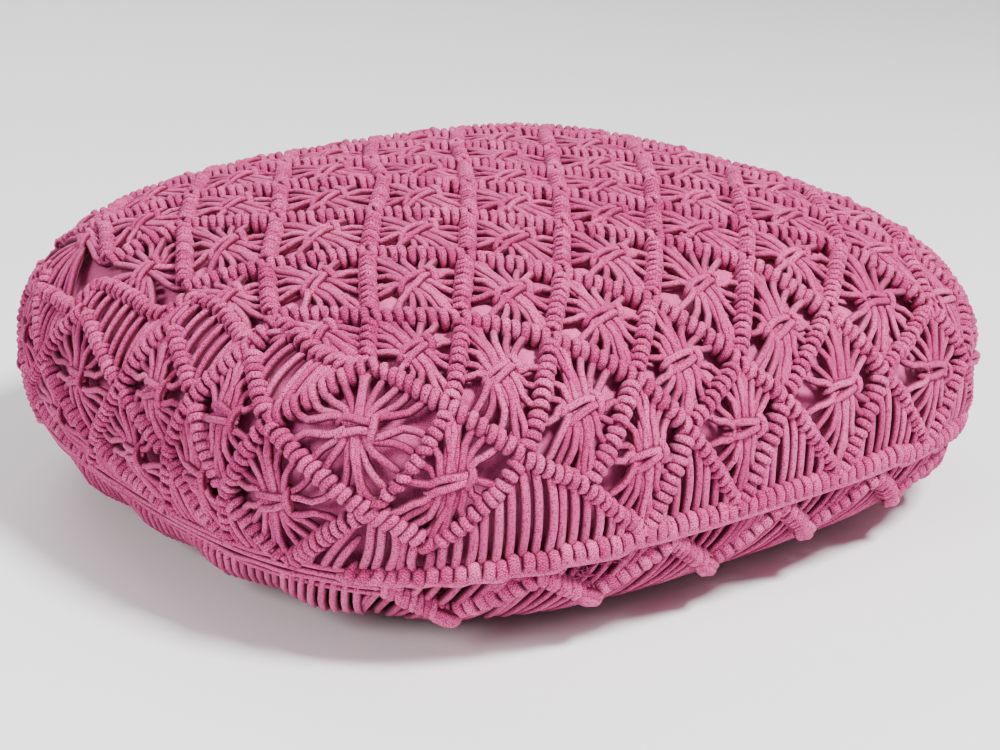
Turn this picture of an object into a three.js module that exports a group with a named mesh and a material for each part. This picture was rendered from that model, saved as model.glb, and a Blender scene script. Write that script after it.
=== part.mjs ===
import * as THREE from 'three';
import { mergeVertices } from 'three/addons/utils/BufferGeometryUtils.js';

// Macrame pouf: a filled square cushion in a woven casing, dressed in knotted cord.
// Millimetres, +Z up, origin at the middle of the underside. The front is -Y.

// The filled cushion
const cushionHalfWidth = 244;      // along X, at the widest height
const cushionHalfDepth = 239;      // along Y
const cushionTop = 182;            // crown of the casing
const cushionBase = 5;             // the bottom panel lies under it
const widestHeight = 84;
const planPower = 3.2;             // how square the plan is
const crownPower = 2.45;           // how full the upper half is
const lowerPower = 2.6;            // how quickly the lower half rounds under
const restShare = 0.7;             // share of the plan that lies flat on the floor
const casingInset = 0.9;           // the casing lies this far inside that shape
const casingSteps = 48;

// The cord, its bars and its knots
const cordSize = 5;
const barWidth = 2 * cordSize;     // a bar is two wraps wide
const barHigh = 8;
const barLow = 6.2;
const cordHigh = 4.6;
const cordLow = 2.2;
const knotHigh = 9;
const knotRim = 5.6;
const knotReach = 10;
const knotHalf = 5.5;
const cornerShare = 0.62;          // how far a bar's foot may run into a sharp corner
const wrapStep = 27;               // length of bar for one high and one low wrap
const panelLift = 2.1;             // clearance of the cords over the casing
const seamGap = 1.2;               // between neighbouring panels

// The top panel's lattice of diamonds
const columnPitch = 33;            // half a diamond, across
const rowPitch = 41;               // half a diamond, along the panel
const firstColumn = -6;
const lastColumn = 7;
const lastRow = 8;
const naturalRows = 4;             // rows on the top that keep their own pitch
const columnShift = 0.5;           // centres the columns on the cushion
const cornerPull = 0.085;          // how far the selvage draws in at the upper corners
const cornerPullLength = 60;       // length of selvage over which that fades
const plainCell = { column: -4, row: -7 };   // left unknotted, its cords run straight down

// The seam round the lower edge
const seamMiddle = 64;             // height at the middle of the front and back
const seamCorner = 51;
const seamSide = 47;               // height at the middle of the sides
const cornerX = 217;
const cornerY = 184;

// The side bands
const bandPitch = 33.5;            // half a diamond, along the band
const bandUpper = 115;             // heights of the two rows of nodes
const bandLower = 80;
const seamColumns = [-4, -2, 0, 2, 4];       // nodes on the seam and in the upper row
const knotColumns = [-3, -1, 1, 3];          // nodes in the lower row and on the top edge
const outermost = 5;                         // the lower row ends on the band's own edge

// The bottom panel
const aroundSteps = 88;
const zigzagMiddle = 0.66;         // height of the zigzag bars, as a share of the seam's
const zigzagRise = 0.17;           // how far they swing above and below it, likewise
const turnUnder = 0.62;            // where the panel turns under, as a share of their lowest
const turnWidth = 0.07;            // share of the plan over which it leaves the floor
const baseLift = 1.1;              // clearance of the panel round the casing
const restGap = 0.5;               // and under it
const rimGap = 1.1;                // between the seam and the panel

const colours = { cord: 0xb86587, casing: 0xa85277, band: 0xb26082, base: 0xa9587b };

const clamp = THREE.MathUtils.clamp;
const lerp = THREE.MathUtils.lerp;

// The shape of the filled cushion
function planRadius(x, y) {
  const px = Math.abs(x / cushionHalfWidth) ** planPower;
  const py = Math.abs(y / cushionHalfDepth) ** planPower;
  return (px + py) ** (1 / planPower);
}

function heightShare(z) {
  return z >= widestHeight
    ? (z - widestHeight) / (cushionTop - widestHeight)
    : (widestHeight - z) / (widestHeight - cushionBase);
}

function radiusAt(z) {
  const share = clamp(heightShare(z), 0, 1);
  if (z >= widestHeight) return (1 - share ** crownPower) ** (1 / crownPower);
  return restShare + (1 - restShare) * (1 - share ** lowerPower) ** (1 / lowerPower);
}

function outside(x, y, z) {
  const r = planRadius(x, y);
  const share = heightShare(z);
  if (z >= widestHeight) return r ** crownPower + share ** crownPower - 1;
  const reach = Math.max(0, r - restShare) / (1 - restShare);
  return reach ** lowerPower + share ** lowerPower - 1;
}

function outwardNormal(p) {
  const step = 0.05;
  const slope = (dx, dy, dz) => (
    outside(p.x + dx, p.y + dy, p.z + dz) - outside(p.x - dx, p.y - dy, p.z - dz)
  );
  const n = new THREE.Vector3(slope(step, 0, 0), slope(0, step, 0), slope(0, 0, step));
  if (n.lengthSq() > 1e-20) return n.normalize();
  return new THREE.Vector3(0, 0, Math.sign(p.z - widestHeight));
}

// Walks down the cushion in the upright plane at x (or at y), from the crown to the floor.
const walk = { steps: 160, lastAngle: 2.35, farthest: 320, halvings: 30 };
const walks = new Map();
function walkDown(at, alongY) {
  const key = `${at.toFixed(2)}${alongY}`;
  if (walks.has(key)) return walks.get(key);
  const place = (reach, angle) => {
    const side = reach * Math.sin(angle);
    const z = widestHeight + reach * Math.cos(angle);
    return alongY ? new THREE.Vector3(at, side, z) : new THREE.Vector3(side, at, z);
  };
  const path = [];
  for (let i = 0; i <= walk.steps; i += 1) {
    const angle = (i / walk.steps) * walk.lastAngle;
    let near = 0;
    let far = walk.farthest;
    for (let k = 0; k < walk.halvings; k += 1) {
      const mid = (near + far) / 2;
      const p = place(mid, angle);
      if (outside(p.x, p.y, p.z) > 0) far = mid;
      else near = mid;
    }
    const p = place(near, angle);
    const length = i ? path[i - 1].length + p.distanceTo(path[i - 1].p) : 0;
    path.push({ p, length });
  }
  walks.set(key, path);
  return path;
}

function alongWalk(path, length) {
  let i = 1;
  while (i < path.length - 1 && path[i].length < length) i += 1;
  const a = path[i - 1];
  const b = path[i];
  return a.p.clone().lerp(b.p, (length - a.length) / (b.length - a.length));
}

function lengthToHeight(path, z) {
  const i = path.findIndex((spot) => spot.p.z <= z);
  const a = path[i - 1];
  const b = path[i];
  return lerp(a.length, b.length, (a.p.z - z) / (a.p.z - b.p.z));
}

function seamHeight(x, y) {
  const alongFront = Math.abs(y) / cornerY > Math.abs(x) / cornerX;
  if (alongFront) return lerp(seamMiddle, seamCorner, Math.min(1, (x / cornerX) ** 2));
  return lerp(seamSide, seamCorner, Math.min(1, (y / cornerY) ** 2));
}

// The draped panel: u runs across it and v along it, both as lengths of cloth.
function drapePanel(u, v) {
  const across = alongWalk(walkDown(0, false), Math.abs(u)).x;
  const edgeShare = (Math.abs(u) / (columnPitch * (lastColumn - columnShift))) ** 6;
  const upper = naturalRows * rowPitch;
  const pull = cornerPull * edgeShare * Math.exp(-(((Math.abs(v) - upper) / cornerPullLength) ** 2));
  const x = Math.sign(u) * across * (1 - pull);
  const path = walkDown(x, true);
  const whole = lengthToHeight(path, seamHeight(x, cushionHalfDepth));
  const end = lastRow * rowPitch;
  const length = Math.abs(v) <= upper
    ? Math.abs(v)
    : upper + ((Math.abs(v) - upper) * (whole - upper)) / (end - upper);
  const p = alongWalk(path, length);
  p.y *= Math.sign(v);
  return p;
}

// A side face, from its outward side: a runs to the right and z is the height.
function sideFace(side) {
  return (a, z) => {
    const y = side * a;
    const left = radiusAt(z) ** planPower - Math.abs(y / cushionHalfDepth) ** planPower;
    return new THREE.Vector3(side * cushionHalfWidth * Math.max(left, 0) ** (1 / planPower), y, z);
  };
}

// A knotted sheet: an outer face, an inner face and the walls of its gaps.
class KnottedSheet {
  constructor(drape) {
    this.drape = drape;
    this.spots = new Map();
    this.outerFaces = [];
    this.innerFaces = [];
  }

  spot(u, v, height) {
    const key = `${u.toFixed(2)},${v.toFixed(2)}`;
    if (!this.spots.has(key)) {
      const base = this.drape(u, v);
      const normal = outwardNormal(base);
      const inner = base.clone().addScaledVector(normal, panelLift);
      const outer = base.clone().addScaledVector(normal, panelLift + height);
      this.spots.set(key, { u, v, inner, outer });
    }
    return this.spots.get(key);
  }

  face(list, a, b, c) {
    const area = (b.u - a.u) * (c.v - a.v) - (c.u - a.u) * (b.v - a.v);
    if (Math.abs(area) < 1e-4) return;
    list.push(area > 0 ? [a, b, c] : [a, c, b]);
  }

  outer(a, b, c) {
    this.face(this.outerFaces, a, b, c);
  }

  // Joins two rows of spots that run the same way.
  zip(rowA, rowB, list = this.outerFaces) {
    let i = 0;
    let j = 0;
    while (i < rowA.length - 1 || j < rowB.length - 1) {
      const stepA = (i + 1) / (rowA.length - 1 || 1);
      const stepB = (j + 1) / (rowB.length - 1 || 1);
      if (j === rowB.length - 1 || (i < rowA.length - 1 && stepA <= stepB)) {
        this.face(list, rowA[i], rowA[i + 1], rowB[j]);
        i += 1;
      } else {
        this.face(list, rowA[i], rowB[j + 1], rowB[j]);
        j += 1;
      }
    }
  }

  geometry() {
    const points = [];
    const push = (...corners) => corners.forEach((p) => points.push(p.x, p.y, p.z));
    const edges = new Set();
    const ids = new Map();
    const id = (s) => {
      if (!ids.has(s)) ids.set(s, ids.size);
      return ids.get(s);
    };
    this.outerFaces.forEach(([a, b, c]) => {
      push(a.outer, b.outer, c.outer);
      edges.add(`${id(a)}>${id(b)}`);
      edges.add(`${id(b)}>${id(c)}`);
      edges.add(`${id(c)}>${id(a)}`);
    });
    this.innerFaces.forEach(([a, b, c]) => push(a.inner, c.inner, b.inner));
    this.outerFaces.forEach(([a, b, c]) => {
      [[a, b], [b, c], [c, a]].forEach(([from, to]) => {
        if (edges.has(`${id(to)}>${id(from)}`)) return;
        push(to.outer, from.outer, from.inner);
        push(to.outer, from.inner, to.inner);
      });
    });
    const raw = new THREE.BufferGeometry();
    raw.setAttribute('position', new THREE.Float32BufferAttribute(points, 3));
    const closed = mergeVertices(raw, 1e-3);
    closed.computeVertexNormals();
    return closed;
  }
}

// A row of spots along a bar from one node up to the next, high and low by turns.
function barRow(sheet, from, to, high = barHigh, low = barLow) {
  const length = Math.hypot(to[0] - from[0], to[1] - from[1]);
  const count = 2 * Math.max(1, Math.round(length / wrapStep));
  const row = [];
  for (let i = 0; i < count; i += 1) {
    const share = i / count;
    const height = i % 2 ? low : high;
    const spot = sheet.spot(lerp(from[0], to[0], share), lerp(from[1], to[1], share), height);
    spot.major = i % 2 === 0;
    row.push(spot);
  }
  return row;
}

function barRows(sheet, corners) {
  return corners.map((corner, i) => barRow(sheet, corner, corners[(i + 1) % corners.length]));
}

// Half the angle inside the loop at each spot.
function halfAngles(loop) {
  return loop.map((here, i) => {
    const before = loop[(i + loop.length - 1) % loop.length];
    const after = loop[(i + 1) % loop.length];
    const back = Math.atan2(before.v - here.v, before.u - here.u);
    const ahead = Math.atan2(after.v - here.v, after.u - here.u);
    return THREE.MathUtils.euclideanModulo(back - ahead, 2 * Math.PI) / 2;
  });
}

// The foot of the bars, half a bar's width inside the loop and less in a sharp corner.
function footLoop(sheet, loop) {
  const count = loop.length;
  const angles = halfAngles(loop);
  return loop.map((here, i) => {
    const before = loop[(i + count - 1) % count];
    const after = loop[(i + 1) % count];
    const gapTo = (spot) => Math.hypot(here.u - spot.u, here.v - spot.v);
    const room = (spot, angle) => (angle < 1 ? gapTo(spot) * Math.tan(angle) : barWidth);
    const roomBefore = room(before, angles[(i + count - 1) % count]);
    const roomAfter = room(after, angles[(i + 1) % count]);
    const isStraight = Math.abs(angles[i] - Math.PI / 2) < 0.1;
    const side = barWidth / 2;
    const reach = isStraight
      ? Math.min(side, cornerShare * Math.min(roomBefore, roomAfter))
      : Math.min(side / Math.sin(angles[i]), cornerShare * Math.min(gapTo(before), gapTo(after)));
    const turn = Math.atan2(after.v - here.v, after.u - here.u) + angles[i];
    const height = i % 2 ? cordHigh : cordLow;
    return sheet.spot(here.u + reach * Math.cos(turn), here.v + reach * Math.sin(turn), height);
  });
}

function slopeOfBars(sheet, loop, foot) {
  loop.forEach((here, i) => {
    const next = (i + 1) % loop.length;
    sheet.outer(here, loop[next], foot[next]);
    sheet.outer(here, foot[next], foot[i]);
  });
}

// The stretch of a closed loop from one index to another, going forwards.
function stretch(loop, from, to) {
  const row = [];
  for (let i = from; i <= to; i += 1) row.push(loop[(i + loop.length) % loop.length]);
  return row;
}

// The inner face needs every second spot only, and all of those on the sheet's edge.
const sparse = (row) => row.filter((spot) => spot.major || spot.onEdge);

// A whole diamond, from its left corner round: two fans of cords drawn together by a
// square knot, with a gap at the left and the right.
function knottedCell(sheet, rows) {
  const loop = rows.flat();
  const foot = footLoop(sheet, loop);
  slopeOfBars(sheet, loop, foot);
  const half = rows[0].length + rows[1].length;
  const mean = (key) => rows.reduce((sum, row) => sum + row[0][key], 0) / rows.length;
  const ring = (du, dv, height) => sheet.spot(mean('u') + du, mean('v') + dv, height);
  const left = ring(-knotReach, 0, knotRim);
  const right = ring(knotReach, 0, knotRim);
  const crown = ring(0, 0, knotHigh);
  const lower = (list) => stretch(list, 0, half);
  const upper = (list) => stretch(list, half, list.length).reverse();
  [[lower, -1], [upper, 1]].forEach(([side, up]) => {
    const brow = [-1, 1].map((way) => ring(way * knotHalf, up * knotHalf, knotRim));
    const knot = [left, ...brow, right];
    const feet = side(foot);
    const last = feet.length - 1;
    sheet.zip(feet.slice(1, last), knot);
    for (let i = 0; i < knot.length - 1; i += 1) sheet.outer(knot[i], knot[i + 1], crown);
    const inner = [feet[0], feet[1], left, crown, right, feet[last - 1], feet[last]];
    sheet.zip(sparse(side(loop)), inner, sheet.innerFaces);
  });
}

// Half a diamond: two bars that meet at its tip, and the selvage. Its cords fan out from a
// half knot at the middle of the selvage, with a gap at the tip.
function halfKnottedCell(sheet, rows) {
  const loop = rows.flat();
  const foot = footLoop(sheet, loop);
  slopeOfBars(sheet, loop, foot);
  const tip = rows[0].length;
  const end = tip + rows[1].length;
  const total = loop.length;
  const middle = foot[Math.round((end + total) / 2)];
  const pull = knotHalf / Math.hypot(foot[tip].u - middle.u, foot[tip].v - middle.v);
  const hub = sheet.spot(lerp(middle.u, foot[tip].u, pull), lerp(middle.v, foot[tip].v, pull), knotHigh);
  const round = stretch(foot, tip + 1, tip + total - 1);
  for (let i = 0; i < round.length - 1; i += 1) sheet.outer(round[i], round[i + 1], hub);
  sheet.zip(sparse(stretch(loop, tip, end)), [foot[tip], foot[tip + 1], hub], sheet.innerFaces);
  sheet.zip(sparse(stretch(loop, 0, tip)), [hub, foot[tip - 1], foot[tip]], sheet.innerFaces);
  const selvage = sparse(stretch(loop, end, total));
  for (let i = 0; i < selvage.length - 1; i += 1) {
    sheet.face(sheet.innerFaces, selvage[i], selvage[i + 1], hub);
  }
}

function fanAround(sheet, loop, hub, list) {
  loop.forEach((spot, i) => sheet.face(list, spot, loop[(i + 1) % loop.length], hub));
}

// An odd cell: cords that run straight from its near rows to the others, with no gap.
function cordedCell(sheet, rows, nearRows, hub = null) {
  const loop = rows.flat();
  const foot = footLoop(sheet, loop);
  slopeOfBars(sheet, loop, foot);
  const end = rows.slice(0, nearRows).flat().length;
  const near = (list) => stretch(list, 0, end);
  const far = (list) => stretch(list, end, list.length).reverse();
  sheet.zip(near(foot), far(foot));
  if (hub) fanAround(sheet, sparse(loop), hub, sheet.innerFaces);
  else sheet.zip(sparse(near(loop)), sparse(far(loop)), sheet.innerFaces);
}

// A small corner that its bars fill.
function filledCell(sheet, rows) {
  const loop = rows.flat();
  const mean = (key) => rows.reduce((sum, row) => sum + row[0][key], 0) / rows.length;
  const hub = sheet.spot(mean('u'), mean('v'), barLow);
  fanAround(sheet, loop, hub, sheet.outerFaces);
  fanAround(sheet, sparse(loop), hub, sheet.innerFaces);
}

// The outer half of the bar that edges a sheet, on both faces. Corners add rim spots.
function edging(sheet, loop, rimOf) {
  const both = (a, b, c) => {
    sheet.outer(a, b, c);
    sheet.face(sheet.innerFaces, a, b, c);
  };
  const rims = loop.map(rimOf);
  loop.forEach((here, i) => {
    const next = (i + 1) % loop.length;
    const mine = rims[i];
    for (let k = 0; k < mine.length - 1; k += 1) both(here, mine[k], mine[k + 1]);
    both(here, loop[next], rims[next][0]);
    both(here, rims[next][0], mine[mine.length - 1]);
  });
}

// The top panel
const lattice = (column, row) => [(column - columnShift) * columnPitch, row * rowPitch];
const selvageU = lattice(lastColumn, 0)[0];
const seamV = lastRow * rowPitch;

// The nodes up one selvage; they lie on even rows at the left and odd rows at the right.
function selvageNodes(column) {
  const nodes = [[column, -lastRow]];
  const first = column === firstColumn ? 2 - lastRow : 1 - lastRow;
  for (let row = first; row < lastRow; row += 2) nodes.push([column, row]);
  nodes.push([column, lastRow]);
  return nodes.map(([c, r]) => lattice(c, r));
}

function topPanel() {
  const sheet = new KnottedSheet(drapePanel);
  const up = selvageNodes(lastColumn);
  const down = selvageNodes(firstColumn).reverse();
  const front = [];
  for (let c = firstColumn; c < lastColumn; c += 2) front.push(lattice(c, -lastRow));
  const back = front.slice(1).map(([u]) => [u, seamV]).reverse();
  const outline = barRows(sheet, [...front, ...up, ...back, ...down.slice(0, -1)]).flat();
  outline.forEach((spot) => { spot.onEdge = true; });
  const { column: plainColumn, row: plainRow } = plainCell;
  const unknotted = lattice(plainColumn, plainRow - 1);
  [-1, 1].forEach((way) => {
    const end = lattice(plainColumn + way, plainRow);
    barRow(sheet, end, unknotted, cordLow, cordHigh);
  });
  for (let column = firstColumn; column <= lastColumn; column += 1) {
    for (let row = -lastRow; row <= lastRow; row += 1) {
      const isPlain = column === plainColumn && row === plainRow;
      if ((column + row) % 2 === 0) continue;
      const around = [[column - 1, row], [column, row - 1], [column + 1, row], [column, row + 1]];
      const held = around.filter(([c, r]) => c >= firstColumn && c <= lastColumn && Math.abs(r) <= lastRow);
      const spots = held.map(([c, r]) => lattice(c, r));
      const turned = [spots[2], spots[0], spots[1]];
      const corner = lattice(column, row);
      if (isPlain) {
        cordedCell(sheet, barRows(sheet, spots), 2, sheet.spot(...corner, cordLow));
      } else if (held.length === 4) {
        knottedCell(sheet, barRows(sheet, spots));
      } else if (held.length === 3 && Math.abs(row) < lastRow) {
        halfKnottedCell(sheet, barRows(sheet, column === firstColumn ? spots : turned));
      } else if (held.length === 3) {
        cordedCell(sheet, barRows(sheet, row < 0 ? spots : turned), 1);
      } else {
        const order = row < 0 ? [spots[0], corner, spots[1]] : [spots[1], corner, spots[0]];
        filledCell(sheet, barRows(sheet, order));
      }
    }
  }
  const half = barWidth / 2;
  const rim = (u, v) => sheet.spot(u, v, cordLow);
  edging(sheet, outline, ({ u, v }) => {
    const outU = u + Math.sign(u) * half;
    const outV = v + Math.sign(v) * half;
    const atSelvage = Math.abs(Math.abs(u) - selvageU) < 0.01;
    const atSeam = Math.abs(Math.abs(v) - seamV) < 0.01;
    if (!atSeam) return [rim(outU, v)];
    if (!atSelvage) return [rim(u, outV)];
    const turn = [rim(u, outV), rim(outU, outV), rim(outU, v)];
    return u * v < 0 ? turn : turn.reverse();
  });
  return sheet.geometry();
}

// The side bands, in the side's own u (to the right, seen from outside) and height.
const flatten = (p, side) => [side * p.y, p.z];

// The spots along a band's upper edge, beside the selvage: from its lower right end, over
// the top, to its lower left end. Each keeps its place along the selvage.
function bandEdge(sheet, side) {
  const across = side * (selvageU + barWidth + seamGap);
  const nodes = selvageNodes(side < 0 ? firstColumn : lastColumn);
  const places = nodes.map(([, v]) => v).sort((a, b) => side * (b - a));
  const edge = [];
  const add = (along) => {
    const spot = sheet.spot(...flatten(drapePanel(across, along), side), edge.length % 2 ? barLow : barHigh);
    spot.along = along;
    edge.push(spot);
  };
  places.slice(0, -1).forEach((v, i) => {
    const next = places[i + 1];
    const count = 2 * Math.max(1, Math.round(Math.abs(next - v) / wrapStep));
    for (let k = 0; k < count; k += 1) add(lerp(v, next, k / count));
  });
  add(places[places.length - 1]);
  return edge;
}

// The index of the spot that scores lowest.
const nearestTo = (edge, score) => (
  edge.reduce((best, spot, i) => (score(spot) < score(edge[best]) ? i : best), 0)
);

function sideBand(side) {
  const sheet = new KnottedSheet(sideFace(side));
  const edge = bandEdge(sheet, side);
  const last = edge.length - 1;
  const at = (index) => [edge[index].u, edge[index].v];
  const topNode = (u) => (
    nearestTo(edge, (s) => (s.v < bandUpper ? Infinity : Math.abs(s.u - u)))
  );
  const rightEnd = nearestTo(edge, (s) => (s.u < 0 ? Infinity : Math.abs(s.v - bandLower)));
  const leftEnd = nearestTo(edge, (s) => (s.u > 0 ? Infinity : Math.abs(s.v - bandLower)));
  const upper = (k) => [k * bandPitch, bandUpper];
  const lower = (k) => {
    if (k === outermost) return at(rightEnd);
    return k === -outermost ? at(leftEnd) : [k * bandPitch, bandLower];
  };
  const top = (k) => at(topNode(k * bandPitch));
  const seam = (k) => [k * bandPitch, seamHeight(side * cushionHalfWidth, k * bandPitch)];
  const bar = (from, to) => barRow(sheet, from, to);
  const topRow = (k, next) => edge.slice(topNode(k * bandPitch), topNode(next * bandPitch));
  const seamNodes = [at(last), ...seamColumns.map(seam), at(0)];
  const seamRows = seamNodes.slice(0, -1).map((node, i) => bar(node, seamNodes[i + 1]));
  const seamRow = (k) => seamRows[(k + outermost) / 2];
  [...edge, ...seamRows.flat()].forEach((spot) => { spot.onEdge = true; });
  knotColumns.forEach((k) => {
    knottedCell(sheet, barRows(sheet, [upper(k - 1), lower(k), upper(k + 1), top(k)]));
    cordedCell(sheet, [seamRow(k), bar(seam(k + 1), lower(k)), bar(lower(k), seam(k - 1))], 1);
  });
  seamColumns.forEach((k) => {
    knottedCell(sheet, barRows(sheet, [lower(k - 1), seam(k), lower(k + 1), upper(k)]));
  });
  seamColumns.slice(1, -1).forEach((k) => {
    cordedCell(sheet, [bar(top(k - 1), upper(k)), bar(upper(k), top(k + 1)), topRow(k + 1, k - 1)], 2);
  });
  const [farLeft, farRight] = [-outermost, outermost];
  const shoulders = [
    [bar(top(farRight - 2), upper(farRight - 1)), bar(upper(farRight - 1), lower(farRight)),
      edge.slice(rightEnd, topNode((farRight - 2) * bandPitch))],
    [bar(lower(farLeft), upper(farLeft + 1)), bar(upper(farLeft + 1), top(farLeft + 2)),
      edge.slice(topNode((farLeft + 2) * bandPitch), leftEnd)],
  ];
  shoulders.forEach((rows) => cordedCell(sheet, rows, 2));
  filledCell(sheet, [seamRow(farRight), edge.slice(0, rightEnd), bar(lower(farRight), seam(farRight - 1))]);
  filledCell(sheet, [edge.slice(leftEnd, last), seamRow(farLeft), bar(seam(farLeft + 1), lower(farLeft))]);
  const rimU = side * (selvageU + barWidth / 2 + seamGap);
  const beside = (along) => sheet.spot(...flatten(drapePanel(rimU, along), side), cordLow);
  const below = (spot) => sheet.spot(spot.u, spot.v - barWidth / 2, cordLow);
  edging(sheet, [...seamRows.flat(), ...edge.slice(0, -1)], (spot) => {
    if (spot.along === undefined) return [below(spot)];
    if (Math.abs(Math.abs(spot.along) - seamV) > 0.01) return [beside(spot.along)];
    const pastEnd = spot.along + (Math.sign(spot.along) * barWidth) / 2;
    const turn = [below(spot), beside(pastEnd), beside(spot.along)];
    return spot === edge[last] ? turn.reverse() : turn;
  });
  return sheet.geometry();
}

// The casing and the bottom panel

// A point of the plan outline, at an angle measured on the square plan.
function planPoint(angle, radius) {
  const c = Math.cos(angle);
  const s = Math.sin(angle);
  const power = 2 / planPower;
  return new THREE.Vector2(
    Math.sign(c) * Math.abs(c) ** power * cushionHalfWidth * radius,
    Math.sign(s) * Math.abs(s) ** power * cushionHalfDepth * radius,
  );
}

function roundSpot(angle, z, away) {
  const flat = planPoint(angle, radiusAt(z));
  const p = new THREE.Vector3(flat.x, flat.y, z);
  return p.addScaledVector(outwardNormal(p), away);
}

// Rings of points joined to a closed body, with a middle point at the first and last ring.
function ringBody(rings, firstMiddle, lastMiddle) {
  const points = [];
  const push = (...corners) => corners.forEach((p) => points.push(p.x, p.y, p.z));
  const count = rings[0].length;
  for (let i = 0; i < count; i += 1) {
    const next = (i + 1) % count;
    push(firstMiddle, rings[0][next], rings[0][i]);
    for (let k = 0; k < rings.length - 1; k += 1) {
      const [a, b] = [rings[k], rings[k + 1]];
      push(a[i], a[next], b[next]);
      push(a[i], b[next], b[i]);
    }
    push(lastMiddle, rings[rings.length - 1][i], rings[rings.length - 1][next]);
  }
  const raw = new THREE.BufferGeometry();
  raw.setAttribute('position', new THREE.Float32BufferAttribute(points, 3));
  const closed = mergeVertices(raw, 1e-3);
  closed.computeVertexNormals();
  return closed;
}

const ringOf = (count, spotAt) => (
  Array.from({ length: count }, (_, i) => spotAt((i / count) * 2 * Math.PI, i))
);

// Heights of the rings, as shares of each half's height. The casing and the bottom panel's
// inner face share the lowest three.
const levels = (from, to, shares) => shares.map((share) => lerp(from, to, share));
const lowerLevels = levels(cushionBase, widestHeight, [0.03, 0.13, 0.38]);
const sideLevels = levels(cushionBase, widestHeight, [0.68]);
const upperLevels = levels(widestHeight, cushionTop, [0, 0.3, 0.55, 0.75, 0.89, 0.97, 0.995]);

function flatRing(count, radius, z) {
  return ringOf(count, (angle) => {
    const flat = planPoint(angle, radius);
    return new THREE.Vector3(flat.x, flat.y, z);
  });
}

function casing() {
  const bottom = cushionBase + casingInset;
  const top = cushionTop - casingInset;
  const rings = [...lowerLevels, ...sideLevels, ...upperLevels].map((z) => (
    ringOf(casingSteps, (angle) => roundSpot(angle, z, -casingInset))
  ));
  const foot = flatRing(casingSteps, restShare, bottom);
  return ringBody([foot, ...rings], new THREE.Vector3(0, 0, bottom), new THREE.Vector3(0, 0, top));
}

// A dish under the cushion, with a zigzag of bars round its side.
function bottomPanel() {
  const wave = [1, 0, -1, 0];
  const half = barWidth / 2;
  const inside = cushionBase + casingInset - restGap;
  const rimZ = (angle) => {
    const flat = planPoint(angle, 1);
    return seamHeight(flat.x, flat.y) - half - rimGap;
  };
  const zigzag = (angle, i) => rimZ(angle) * (zigzagMiddle + zigzagRise * wave[i % wave.length]);
  const turnZ = (angle) => turnUnder * (rimZ(angle) * (zigzagMiddle - zigzagRise) - half);
  const ring = (height, away) => (
    ringOf(aroundSteps, (angle, i) => roundSpot(angle, height(angle, i), baseLift + away(i)))
  );
  const cords = (i) => (i % 2 ? cordHigh : cordLow);
  const bars = (i) => (i % 2 ? barLow : barHigh);
  const casingSide = () => 0;
  const rings = [
    flatRing(aroundSteps, restShare, 0),
    flatRing(aroundSteps, restShare + turnWidth, 0),
    ring(turnZ, cords),
    ring((angle, i) => zigzag(angle, i) - half, cords),
    ring(zigzag, bars),
    ring((angle, i) => zigzag(angle, i) + half, cords),
    ring(rimZ, cords),
    ring(rimZ, casingSide),
    ...[...lowerLevels].reverse().map((z) => ring(() => z, casingSide)),
    flatRing(aroundSteps, restShare, inside),
  ];
  return ringBody(rings, new THREE.Vector3(0, 0, 0), new THREE.Vector3(0, 0, inside));
}

const pouf = new THREE.Group();

function addPiece(name, geometry, color, roughness) {
  const material = new THREE.MeshStandardMaterial({ color, roughness, metalness: 0 });
  const mesh = new THREE.Mesh(geometry, material);
  mesh.name = name;
  pouf.add(mesh);
}

addPiece('inner_cushion', casing(), colours.casing, 0.95);
addPiece('top_panel', topPanel(), colours.cord, 0.9);
addPiece('side_band_left', sideBand(-1), colours.band, 0.9);
addPiece('side_band_right', sideBand(1), colours.band, 0.9);
addPiece('bottom_panel', bottomPanel(), colours.base, 0.9);

export default pouf;
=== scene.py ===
import math
from collections import defaultdict

import bpy
import numpy as np
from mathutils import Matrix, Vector, kdtree


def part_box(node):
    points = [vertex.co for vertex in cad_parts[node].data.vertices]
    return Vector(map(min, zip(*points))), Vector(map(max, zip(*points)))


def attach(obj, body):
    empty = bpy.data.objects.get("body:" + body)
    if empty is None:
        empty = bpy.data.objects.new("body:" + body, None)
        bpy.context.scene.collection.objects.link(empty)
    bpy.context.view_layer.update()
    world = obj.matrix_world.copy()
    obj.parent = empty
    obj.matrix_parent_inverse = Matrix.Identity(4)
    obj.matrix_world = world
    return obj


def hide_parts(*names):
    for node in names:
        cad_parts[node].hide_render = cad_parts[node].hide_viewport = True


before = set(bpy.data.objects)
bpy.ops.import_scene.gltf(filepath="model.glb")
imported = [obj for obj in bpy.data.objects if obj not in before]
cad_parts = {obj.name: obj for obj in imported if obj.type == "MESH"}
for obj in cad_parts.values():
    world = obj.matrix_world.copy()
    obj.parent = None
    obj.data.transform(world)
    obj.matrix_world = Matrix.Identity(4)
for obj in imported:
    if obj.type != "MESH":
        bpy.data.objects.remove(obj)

# Macrame pouf: a filled cushion in a woven casing, dressed in knotted cord.
# Sizes in the dictionaries are millimetres. The front is -Y.
mm = 0.001
tiny = 1e-9
tau = 2 * math.pi
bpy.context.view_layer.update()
bpy.ops.object.select_all(action="DESELECT")
draw = np.random.default_rng(11)


# A random number, or several, at most so far to either side of 0
def stray(most, count=None):
    return draw.uniform(-most, most, count)


def unit(vectors):
    return vectors / np.maximum(np.linalg.norm(vectors, axis=-1, keepdims=True), tiny)


# The length run through at each point of a line
def lengthAlong(line):
    return np.concatenate([[0], np.cumsum(np.linalg.norm(np.diff(line, axis=0), axis=1))])


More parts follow.
